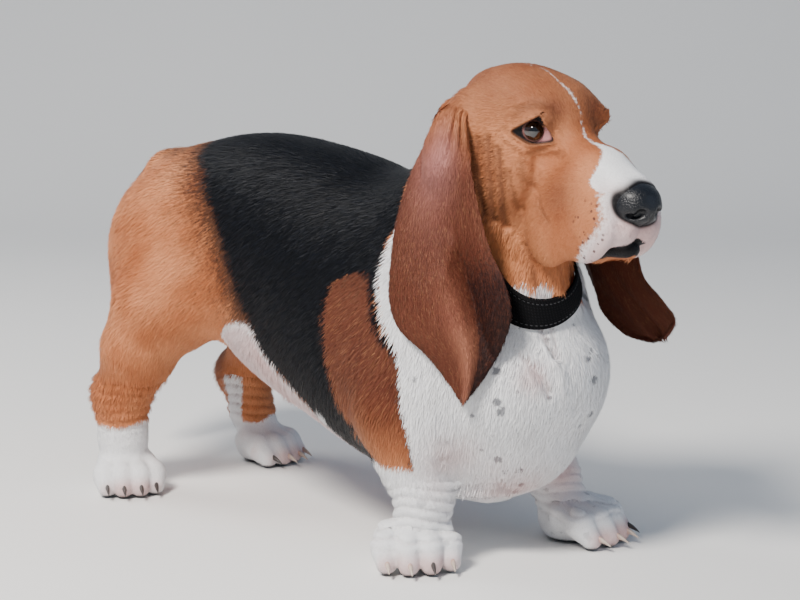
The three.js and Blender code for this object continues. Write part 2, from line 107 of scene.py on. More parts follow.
class Finish:
    """One material: its nodes, and the shader that they feed."""

    def __init__(self, name, **constants):
        self.material = bpy.data.materials.new(name)
        self.material.use_nodes = True
        self.tree = self.material.node_tree
        self.shader = self.tree.nodes["Principled BSDF"]
        Wrap.tree = self.tree
        self.feed(**constants)
        self.place = self.node("ShaderNodeTexCoord", "Object")

    def node(self, kind, output=0, settings=(), **inputs):
        """Any node by its type: its settings first, then its sockets' values or links. Gives one output."""
        n = self.tree.nodes.new(kind)
        for key, value in dict(settings).items():
            setattr(n, key, value)
        for key, value in inputs.items():
            slot = n.inputs[key.replace("_", " ")]
            if isinstance(value, Wrap):
                self.tree.links.new(value.socket, slot)
            else:
                slot.default_value = value
        return Wrap(n.outputs[output])

    def feed(self, **inputs):
        """Values or links for the shader's own sockets."""
        for key, value in inputs.items():
            slot = self.shader.inputs[key.replace("_", " ")]
            if isinstance(value, Wrap):
                self.tree.links.new(value.socket, slot)
            else:
                slot.default_value = value

    def noise(self, scale, detail=3.0, rough=0.5):
        return self.node("ShaderNodeTexNoise", "Fac", Vector=self.place, Scale=scale, Detail=detail,
                         Roughness=rough)

    def mix(self, a, b, share):
        """A colour that goes from a to b as the share goes from 0 to 1."""
        n = self.tree.nodes.new("ShaderNodeMix")
        n.data_type = "RGBA"
        n.clamp_factor = True
        for slot, value in ((n.inputs[0], share), (n.inputs[6], a), (n.inputs[7], b)):
            if isinstance(value, Wrap):
                self.tree.links.new(value.socket, slot)
            elif isinstance(value, tuple):
                slot.default_value = (*value, 1)
            else:
                slot.default_value = value
        return Wrap(n.outputs[2])

    def given(self, name):
        """A number that the mesh carries at each of its points."""
        return self.node("ShaderNodeAttribute", "Fac", settings={"attribute_name": name})

    def bump(self, height, distance, strength=1.0):
        return self.node("ShaderNodeBump", "Normal", Height=height, Distance=distance, Strength=strength)


def mesh_object(name, points, faces, attributes=None, uv=None):
    """A mesh from arrays of points in millimetres and of faces of three or four corners."""
    mesh = bpy.data.meshes.new(name)
    faces = np.asarray(faces, np.int32)
    points = metres(points)
    mesh.vertices.add(len(points))
    mesh.vertices.foreach_set("co", points.astype(np.float32).ravel())
    mesh.loops.add(faces.size)
    mesh.loops.foreach_set("vertex_index", faces.ravel())
    mesh.polygons.add(len(faces))
    mesh.polygons.foreach_set("loop_start", np.arange(0, faces.size, faces.shape[1], dtype=np.int32))
    mesh.polygons.foreach_set("use_smooth", np.ones(len(faces), bool))
    for key, values in (attributes or {}).items():
        data = mesh.attributes.new(key, "FLOAT", "POINT").data
        data.foreach_set("value", np.asarray(values, np.float32))
    if uv is not None:
        layer = mesh.uv_layers.new(name="OFBake")
        layer.data.foreach_set("uv", uv[faces.ravel()].astype(np.float32).ravel())
    mesh.update(calc_edges=True)
    mesh.validate(clean_customdata=False)
    made = bpy.data.objects.new(name, mesh)
    bpy.context.scene.collection.objects.link(made)
    return made


# The floor and wall, in metres: one sheet 10 m wide that runs away from the camera for 8 m. It is level as
# far as the bend, and from there its height is one less the cosine of a quarter turn.
FLOOR_WAY = (0.706, 0.708)
FLOOR_NEAR, FLOOR_FAR, FLOOR_SIDE = -3.0, 5.0, 5.0
BEND_AT, BEND_HIGH = 2.2, 3.0
FLOOR_ROWS, FLOOR_COLUMNS = 60, 3
run = np.linspace(FLOOR_NEAR, FLOOR_FAR, FLOOR_ROWS)
bend = np.clip((run - BEND_AT) / (FLOOR_FAR - BEND_AT), 0, 1)
rise = BEND_HIGH * (1 - np.cos(bend * math.pi / 2))
r, a = np.meshgrid(run, np.linspace(-FLOOR_SIDE, FLOOR_SIDE, FLOOR_COLUMNS), indexing="ij")
floor_points = np.stack([
    (r * FLOOR_WAY[0] - a * FLOOR_WAY[1]) * 1000,
    (r * FLOOR_WAY[1] + a * FLOOR_WAY[0]) * 1000,
    np.repeat(rise[:, None], FLOOR_COLUMNS, 1) * 1000,
], -1).reshape(-1, 3)
i, j = np.meshgrid(np.arange(FLOOR_ROWS - 1), np.arange(FLOOR_COLUMNS - 1), indexing="ij")
k = (i * FLOOR_COLUMNS + j).ravel()
floor = mesh_object("floor", floor_points,
                    np.stack([k, k + FLOOR_COLUMNS, k + FLOOR_COLUMNS + 1, k + 1], 1))
paper = Finish("floor_paper", Roughness=0.85)
paper.feed(Base_Color=paper.mix((0.84, 0.83, 0.81), (0.87, 0.86, 0.84), paper.noise(3.0)))
floor.data.materials.append(paper.material)

# Each lamp: its place and width in metres, its power in watts and its colour. All are aimed at LAMP_AIM.
LAMP_AIM = Vector((0, -0.1, 0.25))
LAMPS = {
    "key": ((-2.2, -0.55, 2.5), 0.9, 185, (1.0, 0.95, 0.89)),
    "fill": ((0.9, -2.6, 1.3), 2.2, 11, (0.66, 0.80, 1.0)),
    "rim": ((-0.6, 2.0, 2.2), 1.4, 34, (1.0, 0.98, 0.95)),
}
for name, (at, size, power, colour) in LAMPS.items():
    lamp = bpy.data.objects.new("lamp_" + name, bpy.data.lights.new("lamp_" + name, "AREA"))
    lamp.data.shape = "DISK"
    lamp.data.size = size
    lamp.data.energy = power
    lamp.data.color = colour
    lamp.location = at
    lamp.rotation_euler = (LAMP_AIM - Vector(at)).to_track_quat("-Z", "Y").to_euler()
    bpy.context.scene.collection.objects.link(lamp)
sky = bpy.data.worlds.new("sky")
sky.use_nodes = True
glow = sky.node_tree.nodes["Background"].inputs
glow["Color"].default_value = (0.62, 0.77, 1.0, 1)
glow["Strength"].default_value = 0.32
bpy.context.scene.world = sky

# The dog's body under its coat: skin over muscle, loose and heavy as the breed's is, one closed surface
# from the nose to the tail and down to the pads. It is a field, below zero inside, blended from rounded
# masses.
RIGHT, LEFT = -1, 1
FAR = 1000.0
COAT = 2.0


def soften(a, b, k):
    """The smaller of two fields, blended over a width k by the square of how close they are."""
    h = np.maximum(k - np.abs(a - b), 0) / k
    return np.minimum(a, b) - h * h * k / 4


def join(k, *fields):
    """The smallest of several fields, softened over the width k one after another."""
    def joined(p):
        d = np.full(len(p), FAR)
        for field in fields:
            d = soften(d, field(p), k)
        return d
    return joined


def carve(field, tool, k):
    """The field with the tool cut out of it, as the softened larger of the field and the tool turned inside
    out."""
    return lambda p: -soften(-field(p), tool(p), k)


def turned(pitch, yaw):
    """The matrix that tips a shape nose-down about X by pitch, then turns it about Z by yaw, in degrees."""
    a, b = math.radians(pitch), math.radians(yaw)
    about_x = np.array([[1, 0, 0], [0, math.cos(a), -math.sin(a)], [0, math.sin(a), math.cos(a)]])
    about_z = np.array([[math.cos(b), -math.sin(b), 0], [math.sin(b), math.cos(b), 0], [0, 0, 1]])
    return about_z @ about_x


def ball(at, radii, pitch=0, yaw=0):
    """An ellipsoid: with q the point over the radii, |q| times |q| less 1, over the length of q over the
    radii."""
    back, at, radii = turned(pitch, yaw), np.array(at, float), np.array(radii, float)

    def field(p):
        q = (p - at) @ back / radii
        near = np.linalg.norm(q, axis=1)
        return near * (near - 1) / (np.linalg.norm(q / radii, axis=1) + 1e-9)
    return field


def limb(points, flat=1.0):
    """A chain of tapered round lengths: the distance to each length less its radius there, blended over 12
    mm. Each point is x, y, z and a radius, and flat widens the chain along x by that many times."""
    points = np.array(points, float)

    def field(p):
        best = np.full(len(p), FAR)
        for a, b in zip(points[:-1], points[1:]):
            d = b[:3] - a[:3]
            t = np.clip((p - a[:3]) @ d / (d @ d), 0, 1)
            off = p - a[:3] - t[:, None] * d
            off[:, 0] /= flat
            best = soften(best, np.linalg.norm(off, axis=1) - (a[3] + (b[3] - a[3]) * t), 12)
        return best
    return field


def nearby(field, low, high):
    """The field inside a box, and far away outside it, where it has no effect."""
    low, high = np.array(low, float), np.array(high, float)

    def boxed(p):
        d = np.full(len(p), FAR)
        inside = ((p > low) & (p < high)).all(1)
        if inside.any():
            d[inside] = field(p[inside])
        return d
    return boxed


# The trunk at each distance back from between the paws: its top, bottom, half width and widest level.
BARREL = np.array([
    [-230, 352, 66, 96, 205], [-160, 364, 60, 114, 200], [-90, 380, 76, 119, 212], [-20, 397, 100, 116, 232],
    [60, 408, 126, 108, 255], [110, 410, 148, 99, 272], [160, 405, 186, 92, 290], [210, 392, 218, 84, 302],
    [260, 374, 245, 66, 308],
], float)


def along_rows(rows, y):
    """A smooth curve through rows of numbers, read by the first number of each: a cubic between two rows,
    with its slopes at them taken from their neighbours."""
    i = np.clip(np.searchsorted(rows[:, 0], y, side="right") - 1, 0, len(rows) - 2)
    a, b = rows[i], rows[i + 1]
    before, after = rows[np.maximum(i - 1, 0)], rows[np.minimum(i + 2, len(rows) - 1)]
    span = (b[:, 0] - a[:, 0])[:, None]
    t = np.clip((y - a[:, 0])[:, None] / span, 0, 1)
    ma = (b - before) / (b[:, :1] - before[:, :1]) * span
    mb = (after - a) / (after[:, :1] - a[:, :1]) * span
    return ((2 * t**3 - 3 * t**2 + 1) * a + (t**3 - 2 * t**2 + t) * ma
            + (3 * t**2 - 2 * t**3) * b + (t**3 - t**2) * mb)


BARREL_POWER = 2.25


def barrel(p):
    """A section between an ellipse and a box, by its power, whose size follows the table from front to
    back."""
    x, y, z = p.T
    _, top, bottom, wide, level = along_rows(BARREL, y).T
    high = np.where(z > level, top - level, level - bottom)
    k = (np.abs(x / wide) ** BARREL_POWER + np.abs((z - level) / high) ** BARREL_POWER) ** (1 / BARREL_POWER)
    return np.maximum((k - 1) * wide, np.maximum(BARREL[0, 0] - y, y - BARREL[-1, 0]))


sides = (RIGHT, LEFT)
trunk = join(
    30,
    barrel,
    ball([4, -232, 188], [112, 106, 106]),
    ball([0, -262, 198], [70, 84, 60]),
    ball([0, -212, 118], [74, 96, 62]),
    ball([0, 222, 285], [88, 108, 92]),
    ball([0, 278, 342], [24, 34, 28]),
)
shoulders = [join(30, ball([s * 84, -190, 225], [44, 74, 104], 14), ball([s * 90, -188, 150], [38, 54, 60]))
             for s in sides]
thighs = [join(30, ball([s * 66, 208, 262], [50, 96, 96], -8), ball([s * 82, 196, 222], [42, 78, 58], -25))
          for s in sides]
# Each leg's middle line from the body down to the paw: x, y, z and the radius there.
LEGS = {
    "fore_right": [[-94, -176, 150, 42], [-92, -196, 105, 34], [-90, -212, 68, 29], [-93, -210, 35, 29]],
    "fore_left": [[88, -188, 150, 42], [86, -206, 105, 34], [86, -228, 68, 28], [90, -240, 35, 28]],
    "hind_right": [[-94, 205, 215, 50], [-102, 224, 165, 43], [-106, 252, 110, 32], [-105, 254, 62, 28],
                   [-106, 252, 30, 28]],
    "hind_left": [[92, 205, 215, 50], [98, 240, 155, 40], [102, 278, 104, 30], [102, 268, 58, 26],
                  [102, 250, 28, 26]],
}
# Each foot: its middle on the ground, its turn outwards in degrees, its side, length, width and height.
FEET = {
    "fore_right": ((-104, -212), 36, RIGHT, 96, 84, 52),
    "fore_left": ((94, -264), 14, LEFT, 98, 86, 52),
    "hind_right": ((-112, 236), 32, RIGHT, 84, 70, 46),
    "hind_left": ((100, 236), 8, LEFT, 84, 70, 46),
}
# The four toes: their places across the foot in its widths, and their reach ahead in its lengths.
TOES = (-0.37, -0.13, 0.13, 0.37)
TOE_REACH = (0.36, 0.46, 0.46, 0.36)
# How far from its middle a foot still has an effect.
FOOT_BOX = 75


def on_foot(foot, across, ahead, up):
    """A point of the foot, across, ahead and up from its middle, turned with the foot."""
    (x, y), out, side = foot[:3]
    a = math.radians(out) * side
    return [x + across * math.cos(a) + ahead * math.sin(a),
            y + across * math.sin(a) - ahead * math.cos(a), up]


def foot_field(foot):
    """A rounded palm with four toes, each a chain of three points that arches forward and down to the
    ground."""
    (x, y), out, side, length, width, tall = foot
    toes = []
    for share, reach in zip(TOES, TOE_REACH):
        c, tip = share * width, reach * length
        toes.append(limb([
            [*on_foot(foot, c * 0.75, tip - 46, tall * 0.6), 17],
            [*on_foot(foot, c, tip - 22, tall * 0.48), 14.5],
            [*on_foot(foot, c * 1.04, tip - 8, 11.5), 12.5],
        ]))
    palm = ball(on_foot(foot, 0, -0.14 * length, 0.36 * tall),
                [0.38 * width, 0.37 * length, 0.5 * tall], 0, out * side)
    return nearby(join(12, palm, join(4, *toes)),
                  [x - FOOT_BOX, y - FOOT_BOX, -10], [x + FOOT_BOX, y + FOOT_BOX, 80])


# How far beyond its middle line a leg still has an effect.
LEG_BOX = 95


def leg_field(name):
    """A limb down the leg, and behind a hind leg's third point the ball of its heel."""
    points = LEGS[name]
    field = limb(points)
    if name.startswith("hind"):
        x, y, z, _ = points[2]
        field = join(22, field, ball([x, y + 22, z - 4], [17, 24, 26]))
    xs, ys = [q[0] for q in points], [q[1] for q in points]
    return nearby(field, [min(xs) - LEG_BOX, min(ys) - LEG_BOX, -40],
                  [max(xs) + LEG_BOX, max(ys) + LEG_BOX, 320])


legs = [leg_field(name) for name in LEGS]
feet = [foot_field(foot) for foot in FEET.values()]

# The head has a frame of its own, midway between the eyes, turned to the dog's right and dipped.
HEAD_AT = np.array([-15.0, -332.0, 449.0])
HEAD_TURN = turned(6, -10)
# The corners of an upright box round the head and the front of the neck, outside which the head has no
# effect.
HEAD_LOW, HEAD_HIGH = [-150, -490, 250], [120, -150, 530]


def from_head(q):
    """Points of the head's frame, turned with the head and moved to it."""
    return np.asarray(q, float) @ HEAD_TURN.T + HEAD_AT


def to_head(p):
    """Points as the head's frame has them."""
    return (p - HEAD_AT) @ HEAD_TURN


skull = join(
    14,
    ball([0, 62, -2], [54, 86, 51]),
    ball([0, 116, 0], [28, 32, 32]),
    *[ball([s * 22, 30, 10], [26, 34, 25]) for s in sides],
    *[ball([s * 30, 8, 6], [15, 24, 14], 0, s * 24) for s in sides],
    *[ball([s * 38, 50, -42], [20, 48, 50]) for s in sides],
    *[limb([[s * 7, -4, -14, 14], [s * 9, -57, -34, 19], [s * 9, -106, -49, 17]]) for s in sides],
    ball([0, 50, -66], [40, 56, 46]),
    limb([[0, 14, -52, 34], [0, -50, -57, 24], [0, -98, -60, 15]]),
)
flews = join(5, *[join(
    10,
    ball([s * 25, -58, -76], [17, 56, 47], 6, s * 4),
    ball([s * 31, -22, -98], [12, 38, 38], 8),
    ball([s * 11, -99, -76], [19, 26, 25]),
) for s in sides])
chin = limb([[0, 10, -104, 24], [0, -60, -104, 19], [0, -106, -101, 12]], 1.15)
mask = join(10, skull, flews)

EYE_AT = np.array([31.5, 11.0, -6.0])
EYE_RADIUS = 13.0
EYE_OUT = math.radians(50)


def eye_frame(q, s):
    """In the head's frame, a point's place at the eye: towards the nose, up, and out from the eyeball's
    middle."""
    v = q - EYE_AT * [s, 1, 1]
    inward = v[:, 0] * -s * math.cos(EYE_OUT) - v[:, 1] * math.sin(EYE_OUT)
    out = v[:, 0] * s * math.sin(EYE_OUT) - v[:, 1] * math.cos(EYE_OUT)
    return inward, v[:, 2], out


# The lid line as four straight sides: the upper lid in two, from the outer corner over to the inner one,
# and the sagging lower lid in two.
LID_SIDES = (((-19, -3), (8, 15)), ((8, 15), (20, -7)), ((20, -7), (0, -12)), ((0, -12), (-19, -3)))


def lid_line(a, b):
    """Distance outside the four-sided opening of the lids, below zero inside it, blended at its corners."""
    d = np.full(len(a), -FAR)
    for (x0, y0), (x1, y1) in LID_SIDES:
        nx, ny = -(y1 - y0), x1 - x0
        size = math.hypot(nx, ny)
        d = -soften(-d, -((a - x0) * nx + (b - y0) * ny) / size, 5)
    return d


def lids(field):
    """The head with a pit for each eye inside the lid line, and a raised rim round it."""
    def lidded(q):
        d = field(q)
        for s in sides:
            a, b, out = eye_frame(q, s)
            near = (np.abs(a) < 40) & (np.abs(b) < 40) & (out > 0)
            if not near.any():
                continue
            a, b, out = a[near], b[near], out[near]
            edge = lid_line(a, b)
            rim = 2.2 * np.exp(-((edge - 2.6) / 2.4) ** 2) + 1.6 * np.exp(-((edge - 9.5) / 3) ** 2) * (b < 4)
            tool = np.maximum(edge, 8.5 - out)
            d[near] = -soften(-(d[near] - rim), tool, 2.0)
        return d
    return lidded


def in_head(field):
    """A field of the head's frame as a field of the dog's, near the head only."""
    return nearby(lambda p: field(to_head(p)), HEAD_LOW, HEAD_HIGH)


crest = limb([[0, -130, 290, 96], [-2, -190, 330, 84], [-6, -232, 385, 70], [-8, -252, 420, 60]])
dewlap = limb([[0, -262, 215, 56], [-6, -282, 275, 44], [-10, -294, 318, 32]])
neck = join(30, crest, dewlap)
tail = nearby(limb([[0, 290, 352, 24], [2, 320, 330, 20], [3, 342, 290, 17], [4, 352, 230, 14],
                    [5, 358, 170, 10.5], [6, 364, 125, 7]]), [-60, 230, 90], [60, 420, 420])
torso = join(30, trunk, *shoulders, *thighs)
body = join(14, torso, *legs)
ear_roots = [limb([[-46, -226, 461, 17], [-68, -226, 441, 17], [-79, -230, 408, 11]]),
             limb([[34, -262, 436, 12], [56, -258, 430, 12], [74, -264, 400, 8]])]
sheath = limb([[0, 120, 150, 9], [0, 84, 124, 9], [0, 66, 116, 7]])

# Folds of loose skin: lines along the skin, each with a width and a depth, which is below zero where it
# stands up.
FOLDS = [
    ([(-69, -261, 432), (-70, -264, 408), (-70, -268, 384), (-63, -268, 358)], 3.4, 8.0),
    ([(-68, -274, 434), (-68, -277, 404), (-65, -278, 379), (-56, -275, 351)], 3.4, 9.0),
    ([(-66, -287, 424), (-65, -289, 400), (-60, -288, 375), (-48, -282, 345)], 3.4, 8.0),
    ([(-64, -298, 402), (-52, -300, 369), (-42, -300, 346), (-44, -318, 326)], 3.2, 3.4),
    ([(-46, -330, 424), (-50, -326, 420), (-56, -318, 421)], 2.4, 2.2),
    ([(-64, -306, 466), (-56, -330, 477), (-44, -348, 474)], 3.0, 2.0),
    ([(-67, -300, 456), (-61, -320, 468), (-51, -339, 471)], 2.4, 1.4),
    ([(-60, -312, 412), (-62, -318, 392), (-60, -330, 372), (-56, -346, 358)], 3.2, 2.0),
    ([(-40, -303, 326), (-36, -313, 296), (-28, -322, 274)], 4.0, 4.0),
    ([(-22, -322, 318), (-18, -330, 294), (-12, -334, 272)], 4.5, -4.0),
    ([(8, -318, 318), (6, -326, 294), (4, -330, 272)], 4.0, 3.5),
    ([(24, -306, 318), (24, -314, 294), (22, -318, 270)], 4.0, 3.5),
    ([(-60, -318, 226), (-46, -326, 206), (-38, -330, 190)], 3.2, 4.5),
    ([(-40, -326, 232), (-30, -334, 210), (-26, -336, 190)], 3.5, -3.0),
    ([(-46, -318, 268), (-39, -330, 246), (-34, -335, 222)], 3.2, 4.5),
    ([(-30, -326, 262), (-28, -334, 240), (-30, -337, 222)], 2.6, 3.0),
    ([(-112, -262, 128), (-98, -282, 112), (-84, -284, 92)], 4.0, 7.0),
    ([(-104, -250, 112), (-90, -270, 96), (-76, -272, 82)], 3.5, 6.0),
    ([(-86, -284, 88), (-50, -282, 74), (-10, -276, 72), (30, -268, 76)], 3.4, 6.0),
    ([(-114, -120, 130), (-122, -150, 112), (-126, -180, 104)], 4.0, 3.0),
]
# Rings of skin round the lower legs: the leg, the lowest and highest level, the rings' gap and their depth.
RINGS = [
    ("fore_right", 30, 84, 10.5, 3.2),
    ("fore_left", 34, 74, 10.0, 3.0),
    ("hind_right", 78, 132, 12.0, 3.2),
    ("hind_left", 56, 112, 11.5, 3.6),
]


def path_distance(p, path):
    """The distance from each point to the nearest straight piece of a path."""
    best = np.full(len(p), FAR)
    for a, b in zip(path[:-1], path[1:]):
        d = b - a
        t = np.clip((p - a) @ d / (d @ d), 0, 1)
        best = np.minimum(best, np.linalg.norm(p - a - t[:, None] * d, axis=1))
    return best


def smooth(x, low, high):
    """From 0 at low to 1 at high: with t the share of the way, t squared times 3 less 2 t."""
    t = np.clip((x - low) / (high - low), 0, 1)
    return t * t * (3 - 2 * t)


def folded(p):
    """How much the folds and rings move the skin, in millimetres, inwards where above zero: a bell curve
    across each fold, and up each leg a wave of narrow dips and broad crests that fades out at both ends."""
    d = np.zeros(len(p))
    for path, wide, deep in FOLDS:
        near = ((p > path.min(0) - 16) & (p < path.max(0) + 16)).all(1)
        if near.any():
            d[near] += deep * np.exp(-(path_distance(p[near], path) / wide) ** 2)
    for name, low, high, gap, deep in RINGS:
        leg = np.array(LEGS[name], float)
        near = (p[:, 2] > low - 12) & (p[:, 2] < high + 12)
        near &= np.hypot(p[:, 0] - leg[-2, 0], p[:, 1] - leg[-2, 1]) < 75
        if near.any():
            q = p[near]
            swing = q[:, 2] + 3.5 * np.sin(q[:, 0] * 0.07 + q[:, 1] * 0.05)
            swing = swing + 1.6 * np.sin(q[:, 1] * 0.13 + 1)
            wave = np.abs(np.sin(math.pi * swing / gap)) ** 0.7
            hold = smooth(q[:, 2], low - 10, low + 4) * (1 - smooth(q[:, 2], high - 4, high + 10))
            d[near] += deep * hold * (0.62 - wave)
    return d


def d_head(p, d):
    """The values d of the points that lie in the head's box, as a field in the head's own frame."""
    inside = ((p > HEAD_LOW) & (p < HEAD_HIGH)).all(1)
    return lambda q: d[inside].copy()


def unfolded(p):
    """The whole dog without its folds: trunk, neck and head with the eyes' pits, then the chin, the feet,
    the tail, the mounds at the ears' roots and the sheath, each softened in. The skin lies the coat's depth
    inside them."""
    d = join(18, join(24, body, neck), in_head(mask))(p)
    lipped = in_head(lids(d_head(p, d)))(p)
    d = np.where(lipped < FAR, lipped, d)
    d = soften(d, in_head(chin)(p) + 1.0, 2.5)
    for foot in feet:
        d = soften(d, foot(p), 9)
    for part in (tail, *ear_roots):
        d = soften(d, part(p), 20)
    return soften(d, sheath(p), 14) + COAT


SOLE_LEVEL = 0.4


def skin_field(p):
    """The unfolded skin plus the folds and rings, cut level just above the ground."""
    return -soften(-unfolded(p) - folded(p), p[:, 2] - SOLE_LEVEL, 2.0)


def surface_net(field, low, high, pitch):
    """A closed mesh of the field's zero level: one point in each grid cell that it crosses, at the mean of
    the places where it cuts the cell's edges, and two triangles round each cut edge."""
    axes = [np.arange(a, b + pitch, pitch) for a, b in zip(low, high)]
    shape = tuple(len(a) for a in axes)
    grid = np.stack(np.meshgrid(*axes, indexing="ij"), -1).reshape(-1, 3)
    parts = np.array_split(grid, max(1, len(grid) // 150000))
    f = np.concatenate([field(part) for part in parts]).reshape(shape)
    f[[0, -1]] = FAR
    f[:, [0, -1]] = FAR
    f[:, :, [0, -1]] = FAR
    inside = f < 0
    cells = tuple(n - 1 for n in shape)
    total, count = np.zeros((*cells, 3)), np.zeros(cells)
    corners = [np.array(c) for c in np.ndindex(2, 2, 2)]
    for c in corners:
        for axis in range(3):
            if c[axis]:
                continue
            e = c.copy()
            e[axis] = 1
            fa = f[c[0]:c[0] + cells[0], c[1]:c[1] + cells[1], c[2]:c[2] + cells[2]]
            fb = f[e[0]:e[0] + cells[0], e[1]:e[1] + cells[1], e[2]:e[2] + cells[2]]
            cut = (fa < 0) != (fb < 0)
            t = np.where(cut, fa / np.where(cut, fa - fb, 1), 0)
            for d in range(3):
                total[..., d] += np.where(cut, c[d] + (t if d == axis else 0), 0)
            count += cut
    used = count > 0
    index = -np.ones(cells, np.int64)
    index[used] = np.arange(used.sum())
    at = np.argwhere(used)
    points = (at + total[used] / count[used][:, None]) * pitch + np.array([a[0] for a in axes])
    faces = []
    for axis in range(3):
        b, c = (axis + 1) % 3, (axis + 2) % 3
        near = np.moveaxis(inside, (axis, b, c), (0, 1, 2))
        cut = near[:-1] != near[1:]
        ii, jj, kk = np.nonzero(cut[:, 1:-1, 1:-1])
        jj, kk = jj + 1, kk + 1
        ids = np.moveaxis(index, (axis, b, c), (0, 1, 2))
        quad = np.stack([ids[ii, jj - 1, kk - 1], ids[ii, jj, kk - 1],
                         ids[ii, jj, kk], ids[ii, jj - 1, kk]], 1)
        flip = ~near[ii, jj, kk]
        quad[flip] = quad[flip][:, ::-1]
        faces.append(quad)
    quads = np.concatenate(faces)
    return points, np.concatenate([quads[:, [0, 1, 2]], quads[:, [0, 2, 3]]])


def slope(field, p, e=0.25):
    """The field at each point, and how fast it changes there along x, y and z, by steps of e."""
    d = field(p)
    g = np.stack([field(p + np.eye(3)[i] * e) - d for i in range(3)], 1) / e
    return d, g


def settle(p, field, times=2):
    """Each point moved along the field's slope to its zero level, by 4 mm a time at most."""
    for _ in range(times):
        d, g = slope(field, p)
        move = d[:, None] * g / np.maximum((g * g).sum(1), 0.15)[:, None]
        size = np.linalg.norm(move, axis=1)
        p = p - move * np.minimum(1, 4 / np.maximum(size, 1e-9))[:, None]
    return p


def laid(path):
    """The path with three more points in each step, all moved onto the unfolded skin."""
    t = np.linspace(0, len(path) - 1, 4 * len(path) - 3)
    between = [np.interp(t, np.arange(len(path)), values) for values in np.array(path, float).T]
    return settle(np.stack(between, 1), unfolded, 4)


FOLDS = [(laid(path), wide, deep) for path, wide, deep in FOLDS]


def edges_of(t):
    """The edges of the faces t, each once, and the numbers of each face's three edges."""
    e = np.sort(np.concatenate([t[:, [0, 1]], t[:, [1, 2]], t[:, [2, 0]]]), axis=1)
    code = e[:, 0] * (t.max() + 1) + e[:, 1]
    unique, inverse = np.unique(code, return_inverse=True)
    return np.stack([unique // (t.max() + 1), unique % (t.max() + 1)], 1), inverse.reshape(3, -1).T


def relax(p, t, share=0.5):
    """Each point moved a share of the way to the mean of its neighbours."""
    e, _ = edges_of(t)
    ends, others = np.concatenate([e[:, 0], e[:, 1]]), np.concatenate([e[:, 1], e[:, 0]])
    count = np.bincount(ends, minlength=len(p))
    mean = np.stack([np.bincount(ends, p[others, d], len(p)) for d in range(3)], 1) / count[:, None]
    return p + share * (mean - p)


def refine(p, t, size_at):
    """Splits every edge longer than the size asked for at its middle, and each face by its split edges."""
    e, of_face = edges_of(t)
    middle = (p[e[:, 0]] + p[e[:, 1]]) / 2
    long = np.linalg.norm(p[e[:, 0]] - p[e[:, 1]], axis=1) > size_at(middle)
    new = -np.ones(len(e), np.int64)
    new[long] = len(p) + np.arange(long.sum())
    p = np.concatenate([p, middle[long]])
    m = new[of_face]
    marks = (m >= 0).sum(1)
    out = [t[marks == 0]]
    for turn in range(3):
        tt, mm = np.roll(t, -turn, 1), np.roll(m, -turn, 1)
        one = (marks == 1) & (mm[:, 0] >= 0)
        a, b, c = tt[one].T
        x = mm[one, 0]
        out += [np.stack([a, x, c], 1), np.stack([x, b, c], 1)]
        two = (marks == 2) & (mm[:, 2] < 0)
        a, b, c = tt[two].T
        x, y = mm[two, 0], mm[two, 1]
        out += [np.stack([x, b, y], 1), np.stack([a, x, y], 1), np.stack([a, y, c], 1)]
    a, b, c = t[marks == 3].T
    x, y, z = m[marks == 3].T
    out += [np.stack(s, 1) for s in ((a, x, z), (x, b, y), (z, y, c), (x, y, z))]
    return p, np.concatenate(out)


def skin_size(p):
    """The longest edge wanted at a point: finest at the eyes, then the nose and mouth, the folds, the legs
    and feet, the head and last the rest."""
    q = to_head(p)
    size = np.full(len(p), 8.5)
    head = np.linalg.norm((q - [0, -20, -40]) / [80, 125, 100], axis=1)
    size = np.minimum(size, 3.9 + 6 * np.maximum(head - 1, 0))
    level = p[:, 2]
    size = np.minimum(size, np.where(level < 135, 3.4 + 0.03 * np.maximum(level - 60, 0), 99))
    for path, *_ in FOLDS:
        near = ((p > path.min(0) - 12) & (p < path.max(0) + 12)).all(1)
        size = np.where(near, np.minimum(size, 2.8), size)
    for s in sides:
        a, b, out = eye_frame(q, s)
        size = np.where((np.hypot(a, b) < 30) & (out > 0), np.minimum(size, 1.9), size)
    muzzle = np.linalg.norm((q - [0, -108, -72]) / [34, 34, 40], axis=1)
    return np.where(muzzle < 1, np.minimum(size, 2.2), size)


skin_points, skin_faces = surface_net(skin_field, (-176, -482, -12), (172, 398, 524), 6.0)
for step in range(4):
    skin_points = settle(relax(skin_points, skin_faces, 0.6), skin_field)
    skin_points, skin_faces = refine(skin_points, skin_faces, skin_size)
skin_points = settle(relax(skin_points, skin_faces, 0.4), skin_field, 3)
skin_slope = slope(skin_field, skin_points)[1]
skin_normals = skin_slope / np.maximum(np.linalg.norm(skin_slope, axis=1), 1e-6)[:, None]

# The markings: a black saddle, tan rump, shoulders and head with redder ears, and white on the neck, chest,
# belly, legs and muzzle. White and black are distances in millimetres from their edges, above zero inside.

# The edges of the markings: each level, or distance back, and how far back, how high or how wide the edge
# is there.
SADDLE_BACK = ((73, 113, 140, 164, 192, 233, 273, 308, 342, 371, 393, 412),
               (-110, -73, -47, -20, 12, 35, 58, 82, 112, 141, 181, 196))
WHITE_BACK = ((90, 135, 176, 222, 242, 255, 279, 300, 327, 352, 380),
              (-225, -221, -216, -211, -195, -188, -178, -173, -170, -178, -165))
SHOULDER_BACK = ((98, 108, 126, 157, 209, 260, 282, 296),
                 (-196, -183, -130, -106, -98, -95, -108, -140))
WHITE_TOP = ((-340, -300, -262, -230, -176), (272, 268, 286, 325, 358))
THROAT_PATCHES = (((-48, -301, 280), 13), ((-31, -319, 284), 9))
MUZZLE_SIDE = ((-132, -120, -96, -80, -68, -50, -23, -10), (-62, -70, -86, -99, -103, -97, -80, -72))
BLAZE = ((-92, -80, -74, -65, -55, -40, -18, 10), (60, 32, 17, 8, 4.5, 1.8, 0.9, -0.5))


